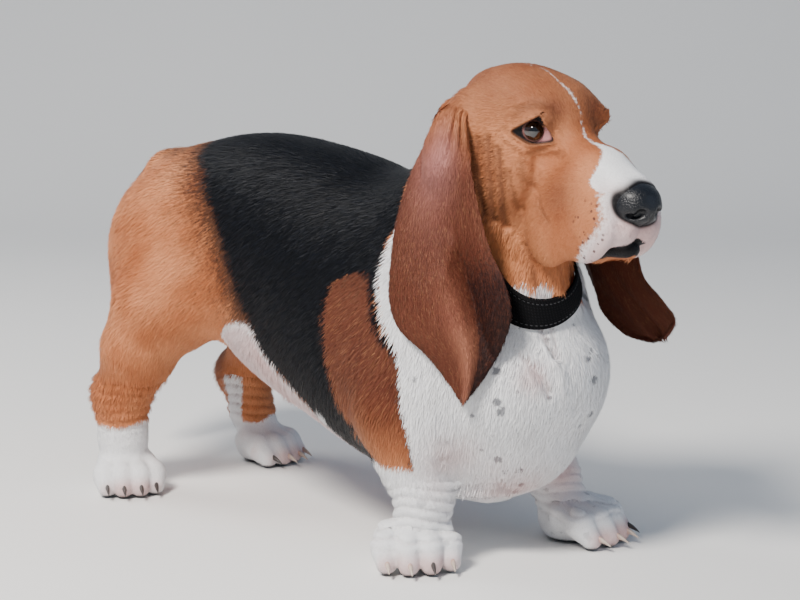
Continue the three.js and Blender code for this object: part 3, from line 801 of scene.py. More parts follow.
def edge_at(line, x):
    """An edge line's second number where its first is x, by straight steps between its points."""
    return np.interp(x, line[0], line[1])


def on_the_head(p, q):
    """Whether each point belongs to the head or to the mounds of the ears."""
    off_mask = in_head(mask)(p)
    on_mask = (off_mask < 9) | ((off_mask < 17) & (q[:, 1] < 75) & (q[:, 2] > -75))
    off_roots = np.minimum(*[root(p) for root in ear_roots])
    return on_mask | ((off_roots < 12) & (off_mask < 40))


def white_marks(p, q, on_head, throat, saddle):
    """The largest of the white parts: throat, fore legs, hind socks with a stripe, belly, a streak and the
    muzzle, and the tail's tip. With it come the belly's and the muzzle's own distances."""
    x, y, z = p.T
    white = np.where(on_head & (z > 285), -20, throat)
    white = np.maximum(white, np.where(y < -140, 101 + 5 * np.sin(x * 0.09) - z, -99))
    sock = np.where(x < 0, 80, 52) + 3 * np.sin(x * 0.12 + 1)
    stripe = 9 - np.hypot(x - 74, (y - 268) * 0.7) + np.where((z < 105) & (x > 0), 0, -99)
    white = np.maximum(white, np.where(y > 140, np.maximum(sock - z, stripe), -99))
    belly = np.minimum.reduce([
        221 - z - 0.006 * np.maximum(y - 40, 0) ** 2,
        np.maximum(104 - y, 64 - np.abs(x)),
        y + 215,
        -saddle,
    ])
    white = np.maximum(white, belly)
    streak = 2.6 - np.hypot((y + 66 + 0.5 * (z - 140)) * 0.8, x + 92) * 0.6
    white = np.maximum(white, np.where((z > 110) & (z < 150), streak, -99))
    off_blaze = np.abs(q[:, 0] + 1.0 + 1.5 * np.sin(q[:, 1] * 0.12))
    muzzle = np.maximum((edge_at(MUZZLE_SIDE, q[:, 2]) - q[:, 1]) * 0.28,
                        (edge_at(BLAZE, q[:, 1]) - off_blaze) * 0.7 - 80 * smooth(-q[:, 2], 40, 56))
    muzzle = np.where(on_head & (z > 300), muzzle, -30)
    white = np.maximum(white, muzzle)
    on_tail = (y > 300) & (z < 355) & (np.abs(x) < 30)
    return np.where(on_tail, 150 - z, white), belly, muzzle


def dust_and_shade_marks(p, on_head, saddle, patch):
    """Black hairs among the tan: they fade out behind the saddle, and lie on the shoulder patch's top, the
    croup and the back of the tail. Down the front of the left hock the same darkening is painted shade."""
    x, y, z = p.T
    dust_and_shade = 1.05 * np.exp(-np.maximum(-saddle, 0) / 62) * smooth(z, 130, 230)
    dust_and_shade = np.where(y < 0, dust_and_shade * smooth(y, -100, -40) + 0.42 * (patch > -2) * smooth(z, 240, 290), dust_and_shade)
    dust_and_shade = np.maximum(dust_and_shade, 0.75 * smooth(y, 120, 230) * smooth(z, 352, 392))
    on_tail = (y > 300) * smooth(z, 150, 230) * (1 - smooth(z, 290, 350)) * 0.55
    dust_and_shade = np.maximum(dust_and_shade, on_tail * (1 - smooth(np.abs(x), 16, 34)))
    # Painted shade: the front of the left hock is darkened like dust, though no black hairs lie there.
    hock_front_shade = (z < 112) & (z > 50) & (y > 160) & (x > 0)
    dust_and_shade = np.maximum(dust_and_shade, 0.35 * hock_front_shade * smooth(-y, -262, -240))
    return np.where(on_head, 0.06, dust_and_shade)


# Spots on the legs and chest where pink skin shows through: the middle, the radius and how much.
PINK_SPOTS = (((-104, -262, 110), 28, 1.0), ((-52, -322, 206), 15, 0.6), ((-30, -280, 74), 36, 0.8),
              ((70, -262, 78), 32, 0.8), ((-70, -290, 96), 22, 0.7))


def pink_marks(p, q, belly, muzzle):
    """Pink skin seen through thin white hair: on the belly, the lips, a few spots, and the toes near the
    ground."""
    x, y, z = p.T
    pink = smooth(belly, -2, 10) * (z < 222) * (y > -120) * 0.75
    pink = np.maximum(pink, smooth(muzzle, -2, 5) * 0.85 * smooth(-q[:, 2], 28, 60))
    for at, wide, much in PINK_SPOTS:
        pink = np.maximum(pink, much * np.exp(-((p - at) ** 2).sum(1) / wide ** 2))
    for (foot_x, foot_y), out, side, *_ in FEET.values():
        turn = math.radians(out) * side
        ahead = (x - foot_x) * math.sin(turn) - (y - foot_y) * math.cos(turn)
        near = np.hypot(x - foot_x, y - foot_y) < FOOT_BOX
        pink = np.maximum(pink, near * smooth(ahead, 22, 40) * (1 - smooth(z, 14, 30)) * 0.8)
    return pink


def bare_marks(p, q, on_head):
    """Bare skin: dark on the soles, the lips, the lids' rims and round the nose, and red at the lids' inner
    corners. The lips' dark runs on under the chin, where it is painted shade."""
    dark = 1 - smooth(p[:, 2], 2, 6)
    # The dark lips, and below them the chin's underside as painted shade.
    lip_and_chin_shade = on_head & (q[:, 1] < -38) & (chin(q) < 3.5) & (q[:, 2] > -126)
    dark = np.maximum(dark, lip_and_chin_shade * smooth(-q[:, 1], 38, 62))
    off_nose = np.linalg.norm((q - [0, -109, -56]) / [27, 28, 22], axis=1)
    dark = np.maximum(dark, on_head * (q[:, 1] < -84) * np.exp(-(np.maximum(off_nose - 0.98, 0) / 0.10) ** 2))
    haw_and_ear_highlight = np.zeros(len(p))
    for s in sides:
        a, b, out = eye_frame(q, s)
        edge = lid_line(a, b)
        facing = on_head & (out > 0) & (np.abs(a) < 40) & (np.abs(b) < 40)
        dark = np.maximum(dark, facing * (1 - smooth(edge, 0.8, 4.2)))
        haw_and_ear_highlight = np.maximum(haw_and_ear_highlight, facing * (1 - smooth(edge, -1.2, 1.0)) * smooth(a - b * 0.6, 6, 11))
    return dark, haw_and_ear_highlight


HOCKS = ([-98, 296, 128], [82, 300, 128])


def red_marks(p, q, on_head, patch):
    """How much deeper than tan the red is: over the brows, the crown, the cheeks, the hocks and the
    shoulders."""
    brow = [np.exp(-((q - [s * 25, -12, 17]) ** 2).sum(1) / 13.0 ** 2) for s in sides]
    head = 0.20 + 0.34 * smooth(q[:, 2], -30, 30) + 0.32 * np.maximum(*brow)
    head = head + 0.4 * np.exp(-(((q[:, 2] + 62) / 22) ** 2 + ((q[:, 1] + 40) / 30) ** 2))
    hock = np.maximum(*[np.exp(-(((p - at) / [30, 20, 34]) ** 2).sum(1)) for at in HOCKS])
    return np.where(on_head, head, 0.75 * hock + 0.9 * smooth(patch, -8, 0) * smooth(p[:, 2], 70, 190))


def coat_marks(p):
    """Where a point of the coat lies within each marking, and how much dust (painted shade on the left hock),
    pink, dark skin, red, ticking and painted shade in the creases of the folds it has."""
    x, y, z = p.T
    q = to_head(p)
    on_head = on_the_head(p, q)
    left = (x > 0) * 1.0
    white_back = edge_at(WHITE_BACK, z) - 26 * left * smooth(z, 120, 200) * (1 - smooth(z, 250, 300))
    patch = np.minimum.reduce([
        edge_at(SHOULDER_BACK, z) - y,
        294 - z - 3 * left,
        y - white_back - 13 * smooth(z, 214, 236),
    ])
    saddle = edge_at(SADDLE_BACK, z) - y + 12 * left * np.sin(z * 0.03)
    black = np.minimum.reduce([saddle * 0.5, y - white_back, -patch])
    throat = np.minimum(white_back - y, edge_at(WHITE_TOP, y) - z)
    for at, wide in THROAT_PATCHES:
        throat = np.maximum(throat, wide - np.linalg.norm(p - at, axis=1))
    white, belly, muzzle = white_marks(p, q, on_head, throat, saddle)
    dark, haw_and_ear_highlight = bare_marks(p, q, on_head)
    ticks = smooth(throat, 4, 16) * smooth(z, 20, 130) * (1 - 0.5 * smooth(z, 255, 300))
    ticks = ticks + 0.35 * (z < 110) * (y < 0)
    freckles = on_head * smooth(-q[:, 1], 62, 76) * (1 - smooth(-q[:, 1], 104, 112))
    freckles = freckles * (1 - smooth(q[:, 2], -62, -50))
    return {
        "white": white,
        "black": np.where(on_head, -30, black),
        "dust_and_shade": dust_and_shade_marks(p, on_head, saddle, patch),
        "pink": pink_marks(p, q, belly, muzzle),
        "dark": np.maximum(dark, 0),
        "haw_and_ear_highlight": haw_and_ear_highlight,
        "red": red_marks(p, q, on_head, patch),
        "ticks": ticks,
        "freckles": freckles,
        # Painted shade in the grooves of the folds and in the rings round the legs.
        "painted_crease_shade": np.clip(folded(p) / 4, 0, 1),
    }


def coat_finish(name, skin=False):
    """Short hair: the markings' colours with ragged edges, streaked and mottled at the size of hairs and
    locks. On the skin a fine noise takes the place of each tuft's own tone."""
    f = Finish(name, Roughness=0.55, Sheen_Weight=0.02, Sheen_Roughness=0.4, Specular_IOR_Level=0.16)
    coarse = f.noise(24.0, 2.0)
    ragged = f.noise(260.0, 3.0, rough=0.65)
    fine = f.noise(900.0, 2.0)
    hair = f.given("tone") if not skin else fine
    swing = (ragged - 0.5) * 15 + (coarse - 0.5) * 16
    tan = f.mix((0.43, 0.135, 0.050), (0.62, 0.245, 0.108), f.noise(14.0, 3.0).step(0.3, 0.7))
    tan = f.mix(tan, (0.070, 0.015, 0.010), f.given("red"))
    tan = f.mix(tan, (0.70, 0.34, 0.15), (hair - 0.55) * 0.5)
    tan = f.mix(tan, (0.10, 0.035, 0.015), (0.42 - hair) * 0.7)
    # The black is tinted blue, a painted reflection of the sky; each tuft's tone sets how dark it is.
    black = f.mix((0.0004, 0.0007, 0.0019), (0.0030, 0.0042, 0.0085), hair.step(0.35, 0.95))
    # The dust mixes towards black: real black hairs on the trunk and tail, and painted shade on the ears and
    # down the front of the left hock.
    dust_and_shade_share = (f.given("dust_and_shade") * 0.95 + (ragged - 0.5) * 0.7 + (hair - 0.5) * 0.6).step(0.22, 0.88)
    # Painted shade: tan darkens to brown in the creases.
    tan = f.mix(tan, (0.05, 0.015, 0.008), f.given("painted_crease_shade") * 0.9)
    colour = f.mix(tan, black, dust_and_shade_share * 0.86)
    colour = f.mix(colour, black, (f.given("black") + swing).step(-3.0, 3.0))
    white = f.mix((0.84, 0.84, 0.85), (0.66, 0.65, 0.65), (hair * 0.6 + coarse * 0.5).step(0.45, 0.95))
    cell = f.node("ShaderNodeTexVoronoi", "Distance", Vector=f.place, Scale=46.0, Randomness=1.0)
    spots = (cell + (ragged - 0.5) * 0.35 + (coarse - 0.5) * 0.9).step(0.20, 0.10) * f.given("ticks")
    white = f.mix(white, (0.085, 0.09, 0.11), spots * 0.72)
    white = f.mix(white, (0.56, 0.29, 0.265), f.given("pink") * (0.45 + coarse * 0.6))
    # Painted shade: white greys to pinkish brown in the creases.
    white = f.mix(white, (0.34, 0.20, 0.19), f.given("painted_crease_shade") * 0.7)
    colour = f.mix(colour, white, (f.given("white") + swing * 0.42).step(-1.6, 1.6))
    dots = f.node("ShaderNodeTexVoronoi", "Distance", Vector=f.place, Scale=150.0, Randomness=0.85)
    dots = (dots + (ragged - 0.5) * 0.3).step(0.30, 0.16) * f.given("freckles")
    colour = f.mix(colour, (0.08, 0.03, 0.03), dots * 0.85)
    colour = f.mix(colour, (0.006, 0.005, 0.006), f.given("dark"))
    # Pink of the haw at the lids' inner corners, which on the right ear is a painted highlight near the root.
    colour = f.mix(colour, (0.46, 0.20, 0.20), f.given("haw_and_ear_highlight"))
    # Painted shade on the tufts: each darkens towards its root, where the hair above it would shade it.
    if not skin:
        colour = f.mix(colour, f.mix(colour, (0.01, 0.006, 0.004), 0.55), (0.5 - f.given("along")) * 0.7)
    bare = f.given("dark").step(0.4, 0.9)
    f.feed(Base_Color=colour, Roughness=0.62 - 0.12 * f.given("black").step(-2.0, 2.0) - bare * 0.22)
    if skin:
        f.feed(Normal=f.bump(fine * 0.6 + ragged * 0.8, 0.0012, 0.7))
    return f.material


FLESH = [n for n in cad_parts
         if n in ("torso", "neck", "head", "lower_jaw", "tail") or "_leg_" in n or "_paw_" in n]
skin_marks = coat_marks(skin_points)
skin = mesh_object("skin", skin_points, skin_faces, skin_marks)
skin_finish = coat_finish("skin_under_coat", skin=True)
skin.data.materials.append(skin_finish)
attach(skin, "root")
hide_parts(*FLESH)

# The ears: thin leathery leaves, far longer than they are wide, set low on the skull and hanging past the
# collar with a long fold in the lower half. Each grows out of the soft mound at its root.

# Back and front are an ear's two edges from the root down, and out is the way that its outer face looks.
EARS = {
    "ear_right": dict(
        out=(-0.7, -0.7, 0.15),
        back=[(-44, -214, 472), (-58, -206, 463), (-70, -203, 444), (-79, -198, 420), (-85, -187, 393),
              (-85, -168, 346), (-85, -160, 305), (-85, -158, 264), (-85, -172, 237), (-85, -212, 214),
              (-85, -240, 191), (-85, -257, 175)],
        front=[(-46, -240, 464), (-62, -242, 452), (-72, -253, 438), (-79, -263, 421), (-85, -271, 400),
               (-85, -281, 366), (-85, -296, 329), (-85, -315, 300), (-85, -324, 269), (-85, -311, 233),
               (-85, -286, 200), (-85, -262, 175)]),
    "ear_left": dict(
        out=(1, -0.15, 0.1),
        back=[(38, -245, 442), (60, -234, 438), (78, -235, 405), (96, -225, 365), (108, -228, 325),
              (112, -240, 285), (118, -262, 248), (120, -296, 222), (120, -334, 217)],
        front=[(32, -276, 440), (54, -280, 434), (72, -300, 398), (92, -315, 355), (104, -325, 315),
               (108, -333, 285), (112, -356, 262), (118, -366, 244), (120, -352, 226)]),
}
EAR_CLEAR = 8.5
EAR_THICK = 3.6


def spline(points, t):
    """A smooth curve through the points, evenly spaced in t (cubic, tangents from neighbours)."""
    points = np.array(points, float)
    rows = np.column_stack([np.arange(len(points)), points])
    return along_rows(rows, np.asarray(t) * (len(points) - 1))[:, 1:]


def under_ear(p):
    """What an ear hangs on: trunk, neck, head and the mounds of both ears."""
    d = join(24, join(24, body, neck), in_head(mask))(p)
    for root in ear_roots:
        d = soften(d, root(p), 20)
    return d


def ear_sheet(out, back, front, rows=110, columns=40):
    """The ear's middle sheet: straight across from its back to its front edge, with a hollow and small
    pleats near the root, and towards the tip three half waves, one sharp ridge and edges that curl in. It
    is then moved outwards until it lies clear of what it hangs on. t is the share of the way down and u the
    share across."""
    out = np.array(out) / np.linalg.norm(out)
    t, u = np.meshgrid(np.linspace(0, 1, rows), np.linspace(0, 1, columns), indexing="ij")
    b, f = spline(back, t[:, 0]), spline(front, t[:, 0])
    p = b[:, None] + (f - b)[:, None] * u[..., None]
    dip = -6 * np.sin(math.pi * u) ** 2 * (1 - t)
    wave = np.sin(3 * math.pi * u) * 2.5 * t
    ridge = 7 * np.exp(-((u - 0.56 + 0.1 * (1 - t)) / 0.10) ** 2) * smooth(t, 0.42, 0.8)
    curl = 3.0 * (np.exp(-(u / 0.08) ** 2) + np.exp(-((1 - u) / 0.08) ** 2)) * smooth(t, 0.2, 0.5)
    pleat = 2.2 * np.sin(9 * math.pi * u + 1.2) * smooth(t, 0.03, 0.1) * (1 - smooth(t, 0.18, 0.34))
    pleat = pleat * smooth(u, 0.3, 0.6)
    p = p + (dip + wave + ridge - curl + pleat)[..., None] * out
    hold = smooth(t, 0.08, 0.30) * EAR_CLEAR - 6 * (1 - smooth(t, 0.02, 0.16))
    flat, hold = p.reshape(-1, 3), (hold + np.maximum(ridge, 0) * 0.8 + pleat * 0.8).ravel()
    for _ in range(24):
        flat = flat + np.clip(hold - under_ear(flat), 0, 12)[:, None] * 0.6 * out
    return flat.reshape(rows, columns, 3), t, u


def ear_surface(sheet, t, u):
    """A closed skin round the sheet: each row runs out along one face and back along the other, a half
    thickness off, which falls away at both edges and at the tip."""
    normal = np.cross(np.gradient(sheet, axis=0), np.gradient(sheet, axis=1))
    normal /= np.linalg.norm(normal, axis=2)[..., None] + 1e-9
    half = EAR_THICK / 2 * np.sqrt(np.clip(1 - np.abs(2 * u - 1) ** 6, 0, 1))
    half = half * (1 - 0.8 * smooth(t, 0.97, 1.0)) + 0.12
    above, below = sheet + normal * half[..., None], sheet - normal * half[..., None]
    return np.concatenate([above, below[:, ::-1]], 1)


def tube_faces(rows, columns):
    """Triangles of a grid whose columns close on themselves, and a fan of them across each end row."""
    i, j = np.meshgrid(np.arange(rows - 1), np.arange(columns), indexing="ij")
    a, b = (i * columns + j).ravel(), (i * columns + (j + 1) % columns).ravel()
    quads = np.stack([a, b, b + columns, a + columns], 1)
    tri = np.concatenate([quads[:, [0, 1, 2]], quads[:, [0, 2, 3]]])
    ends = []
    for base, turn in ((0, True), ((rows - 1) * columns, False)):
        k = np.arange(1, columns - 1)
        fan = np.stack([np.full(len(k), base), base + k, base + k + 1], 1)
        ends.append(fan[:, ::-1] if turn else fan)
    return np.concatenate([tri, *ends])


def outward(points, faces):
    """The faces, turned round if the volume that they close is below zero."""
    a, b, c = (points[faces[:, k]] for k in range(3))
    return faces if np.einsum("ij,ij->", a, np.cross(b, c)) > 0 else faces[:, ::-1]


# The right ear's red is lightened along its long fold, a painted lit ridge, and both ears' near the root, a
# painted highlight that is also tinted pink on the right ear. Their dust darkens the lower halves, the back
# edges and, on the right ear, the front beyond the fold, all as painted shade.
ear_skins = []
for name, shape in EARS.items():
    sheet, t, u = ear_sheet(**shape)
    closed = ear_surface(sheet, t, u)
    points = closed.reshape(-1, 3)
    faces = outward(points - points.mean(0), tube_faces(*closed.shape[:2]))
    depth = np.concatenate([t, t[:, ::-1]], 1).ravel()
    marks = {key: np.zeros(len(points)) for key in skin_marks}
    marks.update(white=np.full(len(points), -30.0), black=np.full(len(points), -30.0))
    span = np.concatenate([u, u[:, ::-1]], 1).ravel()
    # A painted lit ridge along the right ear's fold, and a painted highlight near both roots.
    lit = np.exp(-((span - 0.55 + 0.1 * (1 - depth)) / 0.13) ** 2) * smooth(depth, 0.5, 0.8)
    pale = np.exp(-(((span - 0.42) / 0.3) ** 2 + ((depth - 0.30) / 0.12) ** 2))
    near_ear = float(name == "ear_right")
    marks["red"] = 0.30 + 0.62 * smooth(depth, 0.08, 0.40) - 0.24 * lit * near_ear - 0.25 * pale
    # Painted shade on the ears: their lower halves, their back edges, and the right ear beyond its fold.
    marks["dust_and_shade"] = 0.06 + 0.16 * smooth(depth, 0.45, 0.8) * (1 - lit) + 0.2 * np.exp(-(span / 0.16) ** 2)
    marks["dust_and_shade"] += near_ear * 0.60 * smooth(span, 0.60, 0.74) * smooth(depth, 0.42, 0.66)
    marks["haw_and_ear_highlight"] = near_ear * (0.62 * pale + 0.12 * lit)
    ear = mesh_object(name + "_leather", points, faces, marks)
    ear.data.materials.append(skin_finish)
    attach(ear, "root")
    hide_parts(name)
    down = np.gradient(closed, axis=0).reshape(-1, 3)
    ear_skins.append((points, faces, marks, down, depth))

# The eyes: dark brown, wet and sunk behind the drooping lids, each a ball with a low bulge over the iris.
# Distances from the gaze are in millimetres.
GAZE = {RIGHT: (-0.66, -0.75, 0.02), LEFT: (0.66, -0.75, 0.02)}
IRIS, PUPIL = 8.8, 4.0
wet = Finish("wet_eye", Roughness=0.04, Coat_Weight=1.0, Coat_Roughness=0.02, Specular_IOR_Level=0.6)
ring = wet.given("off_axis")
rays = wet.noise(420.0, 2.0)
iris = wet.mix((0.010, 0.004, 0.002), (0.045, 0.017, 0.006),
               (ring / IRIS).step(0.45, 0.95) * rays.step(0.3, 0.8))
white_of_eye = wet.mix((0.20, 0.11, 0.10), (0.12, 0.045, 0.045), wet.noise(500.0, 3.0))
colour = wet.mix(white_of_eye, (0.008, 0.005, 0.004), ring.step(IRIS + 1.3, IRIS - 0.1))
colour = wet.mix(colour, iris, ring.step(IRIS, IRIS - 1.0))
colour = wet.mix(colour, (0.002, 0.002, 0.002), ring.step(PUPIL, PUPIL - 0.7))
wet.feed(Base_Color=colour)
for s, name in ((RIGHT, "eye_right"), (LEFT, "eye_left")):
    gaze = np.array(GAZE[s]) / np.linalg.norm(GAZE[s])
    side_way = np.cross(gaze, [0, 0, 1])
    side_way /= np.linalg.norm(side_way)
    top_way = np.cross(side_way, gaze)
    lat, lon = np.meshgrid(np.linspace(0, math.pi, 48)[1:-1],
                           np.linspace(0, 2 * math.pi, 64, endpoint=False), indexing="ij")
    bulge = EYE_RADIUS + 1.1 * np.exp(-(lat / 0.5) ** 4)
    ball_points = (np.cos(lat)[..., None] * gaze + np.sin(lat)[..., None] * (
        np.cos(lon)[..., None] * side_way + np.sin(lon)[..., None] * top_way)) * bulge[..., None]
    q = ball_points.reshape(-1, 3) + EYE_AT * [s, 1, 1]
    faces = outward(q - q.mean(0), tube_faces(*lat.shape))
    off_axis = (EYE_RADIUS * np.sin(lat) + np.where(lat > math.pi / 2, 20, 0)).ravel()
    eye = mesh_object(name + "_ball", from_head(q), faces, {"off_axis": off_axis})
    eye.data.materials.append(wet.material)
    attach(eye, "root")
    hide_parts(name)

# The nose: a broad pad of black pebbled leather, a little glossy, with two comma-shaped nostrils and a
# groove down its front. It is blended from two balls, and each nostril is a round hole with a flat slot
# that runs outwards.
nose_pad = join(7, ball([0, -109, -58], [25, 26, 20]), ball([0, -106, -48], [22, 24, 13]))
nostrils = join(3, *[ball([s * 10.5, -134, -61], [5.0, 10, 4.6]) for s in sides],
                *[ball([s * 18.5, -128, -64.5], [8, 10, 2.7], 0, s * 34) for s in sides])


def nose_field(q):
    """The pad less its nostrils, less a groove whose depth is a bell curve across the nose's middle."""
    d = carve(nose_pad, nostrils, 3)(q)
    groove = 1.8 * np.exp(-(q[:, 0] / 1.7) ** 2) * (1 - smooth(q[:, 2], -66, -58)) * (q[:, 1] < -112)
    return d + groove + 0.4


nose_points, nose_faces = surface_net(nose_field, (-34, -146, -90), (34, -74, -26), 2.2)
for step in range(3):
    nose_points = settle(relax(nose_points, nose_faces, 0.5), nose_field)
    nose_points, nose_faces = refine(nose_points, nose_faces, lambda q: np.where(q[:, 1] < -105, 1.7, 3.5))
nose_points = settle(nose_points, nose_field)
nose = mesh_object("nose_pad", from_head(nose_points), nose_faces)
leather = Finish("nose_leather", Roughness=0.36, Coat_Weight=0.18, Coat_Roughness=0.25,
                 Specular_IOR_Level=0.38)
pebble = leather.node("ShaderNodeTexVoronoi", "Distance", Vector=leather.place, Scale=620.0, Randomness=0.9)
# The black leather is tinted blue, a painted reflection of the sky.
leather.feed(
    Base_Color=leather.mix((0.0006, 0.0010, 0.0024), (0.0030, 0.0042, 0.0080), leather.noise(120.0)),
    Roughness=0.30 + leather.noise(300.0) * 0.22,
    Normal=leather.bump(1.0 - pebble, 0.0006, 0.8),
)
nose.data.materials.append(leather.material)
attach(nose, "root")
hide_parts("nose")

# The collar: a plain black webbing band round the neck, stitched along both edges, lowest at the throat. It
# lies on the coat, whose place is found by rays from the band's axis out through the neck.
COLLAR_AT = np.array([-9.5, -239.0, 333.0])
COLLAR_UP = np.array([-0.382, -0.525, 0.76])
COLLAR_WIDE, COLLAR_RISE, COLLAR_FRONT = 19.0, 66.0, 80
collar_side = np.cross(COLLAR_UP, [0, 1, 0])
collar_side /= np.linalg.norm(collar_side)
collar_front = np.cross(COLLAR_UP, collar_side)
collar_front /= np.linalg.norm(collar_front)
neck_field = join(24, body, neck)


def collar_rise(turn):
    """How far the band climbs towards the nape, by its turn round the neck in radians from the dog's
    right."""
    from_front = np.abs((np.degrees(turn) - COLLAR_FRONT + 540) % 360 - 180)
    return COLLAR_RISE * smooth(from_front, 50, 165)


def off_collar(p):
    """How far a point lies above or below the middle of the band, beside the neck."""
    v = p - COLLAR_AT
    return np.abs(v @ COLLAR_UP - collar_rise(np.arctan2(v @ collar_front, v @ collar_side)))


def leave(field, start, way, reach=260.0, step=2.0):
    """How far rays that start inside a field go before they leave it, by even steps and then by halving."""
    steps = np.arange(step, reach, step)
    at = start[:, None] + way[:, None] * steps[None, :, None]
    outside = field(at.reshape(-1, 3)).reshape(len(start), -1) > 0
    first = outside.argmax(1)
    low, high = steps[first] - step, steps[first]
    for _ in range(12):
        middle = (low + high) / 2
        beyond = field(start + way * middle[:, None]) > 0
        low, high = np.where(beyond, low, middle), np.where(beyond, middle, high)
    return (low + high) / 2


ROUND = 240
turn = np.linspace(0, 2 * math.pi, ROUND, endpoint=False)
spokes = np.cos(turn)[:, None] * collar_side + np.sin(turn)[:, None] * collar_front
climb = collar_rise(turn)[:, None]
edge_of = {}
for share in (-0.5, 0.0, 0.5):
    start = COLLAR_AT + COLLAR_UP * (share * COLLAR_WIDE + climb)
    edge_of[share] = leave(neck_field, start, spokes)


def collar_point(spoke, share, lift):
    """Points round the band: at a share of its width from its middle, lifted off the coat by so many
    millimetres. The coat's place there is drawn straight from the middle to either edge."""
    base = np.where(share < 0, edge_of[0.0] + (edge_of[-0.5] - edge_of[0.0]) * -2 * share,
                    edge_of[0.0] + (edge_of[0.5] - edge_of[0.0]) * 2 * share)
    return COLLAR_AT + COLLAR_UP * (share * COLLAR_WIDE + climb) + spoke * (base + lift)[:, None]


# The band's section, over its face and back along the coat: a share of its width and a height off the coat.
BAND = [
    (-0.5, 0.2), (-0.5, 2.6), (-0.47, 3.3), (-0.42, 3.5), (-0.36, 3.15), (-0.28, 3.3), (0.0, 3.4),
    (0.28, 3.3), (0.36, 3.15), (0.42, 3.5), (0.47, 3.3), (0.5, 2.6), (0.5, 0.2), (0.0, 0.0),
]
BAND_MIDDLE = 6
rows = np.stack([collar_point(spokes, share, lift) for share, lift in BAND], 1)
count = len(BAND)
i, j = np.meshgrid(np.arange(ROUND), np.arange(count), indexing="ij")
here, ahead = i * count, (i + 1) % ROUND * count
beside = (j + 1) % count
ring_faces = np.stack([here + j, here + beside, ahead + beside, ahead + j], -1).reshape(-1, 4)
ring_faces = np.concatenate([ring_faces[:, [0, 1, 2]], ring_faces[:, [0, 2, 3]]])
flat_rows = rows.reshape(-1, 3)
length_round = np.linalg.norm(np.diff(rows[:, BAND_MIDDLE], axis=0), axis=1).sum()
collar = mesh_object("collar_band", flat_rows, outward(flat_rows - flat_rows.mean(0), ring_faces), {
    "round": np.repeat(np.arange(ROUND) / ROUND * length_round, count),
    "across": np.tile([share * COLLAR_WIDE for share, _ in BAND], ROUND),
})
webbing = Finish("black_webbing", Roughness=0.6, Specular_IOR_Level=0.08)
along_ribs = (webbing.given("across") * 3.4).math("SINE") * 0.5 + 0.5
across_ribs = (webbing.given("round") * 2.2).math("SINE") * 0.5 + 0.5
rib = along_ribs * across_ribs
webbing.feed(Base_Color=webbing.mix((0.0012, 0.0012, 0.0016), (0.0060, 0.0060, 0.0075), rib),
             Normal=webbing.bump(rib, 0.0005, 0.8))
collar.data.materials.append(webbing.material)
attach(collar, "root")
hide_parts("collar")

# The stitches are short thick threads, a row near each edge, sunk into the band.
STITCH_LONG, STITCH_GAP, STITCH_SIDES = 3.0, 4.4, 6
STITCH_LINE, STITCH_LIFT = 0.36, 3.2
STITCH_RINGS = ((-0.5, 0.15), (-0.3, 0.42), (0.0, 0.5), (0.3, 0.42), (0.5, 0.15))
STITCH_POINTS = len(STITCH_RINGS) * STITCH_SIDES
stitch_count = int(length_round / STITCH_GAP)
ring_at = np.linspace(0, ROUND, stitch_count, endpoint=False)
stitch_points, stitch_faces = [], []
for share in (-STITCH_LINE, STITCH_LINE):
    line = collar_point(spokes, share, STITCH_LIFT)
    line = np.concatenate([line, line[:1]])
    i = ring_at.astype(int)
    centre = line[i] + (line[i + 1] - line[i]) * (ring_at - i)[:, None]
    way = (line[i + 1] - line[i]) / np.linalg.norm(line[i + 1] - line[i], axis=1)[:, None]
    lift = spokes[i]
    cross = np.cross(way, lift)
    rings = []
    for along, thick in STITCH_RINGS:
        for angle in np.arange(STITCH_SIDES) / STITCH_SIDES * 2 * math.pi:
            off_line = (cross * math.cos(angle) + lift * math.sin(angle)) * thick
            rings.append(centre + way * along * STITCH_LONG + off_line + lift * (0.25 - 1.6 * along ** 2))
    block = np.stack(rings, 1)
    base = len(stitch_points) * stitch_count * STITCH_POINTS
    stitch_points.append(block.reshape(-1, 3))
    one = outward(block[0] - block[0].mean(0), tube_faces(len(STITCH_RINGS), STITCH_SIDES))
    first = (np.arange(stitch_count) * STITCH_POINTS)[:, None, None]
    stitch_faces.append((one[None] + first).reshape(-1, 3) + base)
stitches = mesh_object("collar_stitches", np.concatenate(stitch_points), np.concatenate(stitch_faces))
thread = Finish("black_thread", Roughness=0.5)
thread.feed(Base_Color=thread.mix((0.012, 0.012, 0.014), (0.035, 0.035, 0.04), thread.noise(900.0)))
stitches.data.materials.append(thread.material)
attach(stitches, "root")

# The claws: short thick horns, pale on some toes and dark on others, each curving down out of its toe. A
# claw is a row of rings whose radius falls off towards the tip and whose middle drops by the square of the
# way along.
CLAW_LONG, CLAW_ROOT, CLAW_DROP, CLAW_LEVEL = 21.0, 4.0, 7.0, 14.0
DARK_CLAWS = {("fore_right", 2), ("hind_right", 0), ("hind_right", 1), ("hind_right", 2), ("hind_right", 3),
              ("fore_left", 3), ("hind_left", 0)}
horn = Finish("claw_horn", Roughness=0.38, Coat_Weight=0.2, Coat_Roughness=0.3)
grain = horn.noise(260.0, 4.0)
pale_horn = horn.mix((0.42, 0.31, 0.24), (0.62, 0.53, 0.46), grain)
pale_horn = horn.mix(pale_horn, (0.50, 0.22, 0.18), horn.given("root") * 0.8)
dark_horn = horn.mix((0.018, 0.014, 0.014), (0.075, 0.06, 0.055), grain)
horn.feed(Base_Color=horn.mix(pale_horn, dark_horn, horn.given("dark")),
          Normal=horn.bump(grain, 0.0003, 0.5))
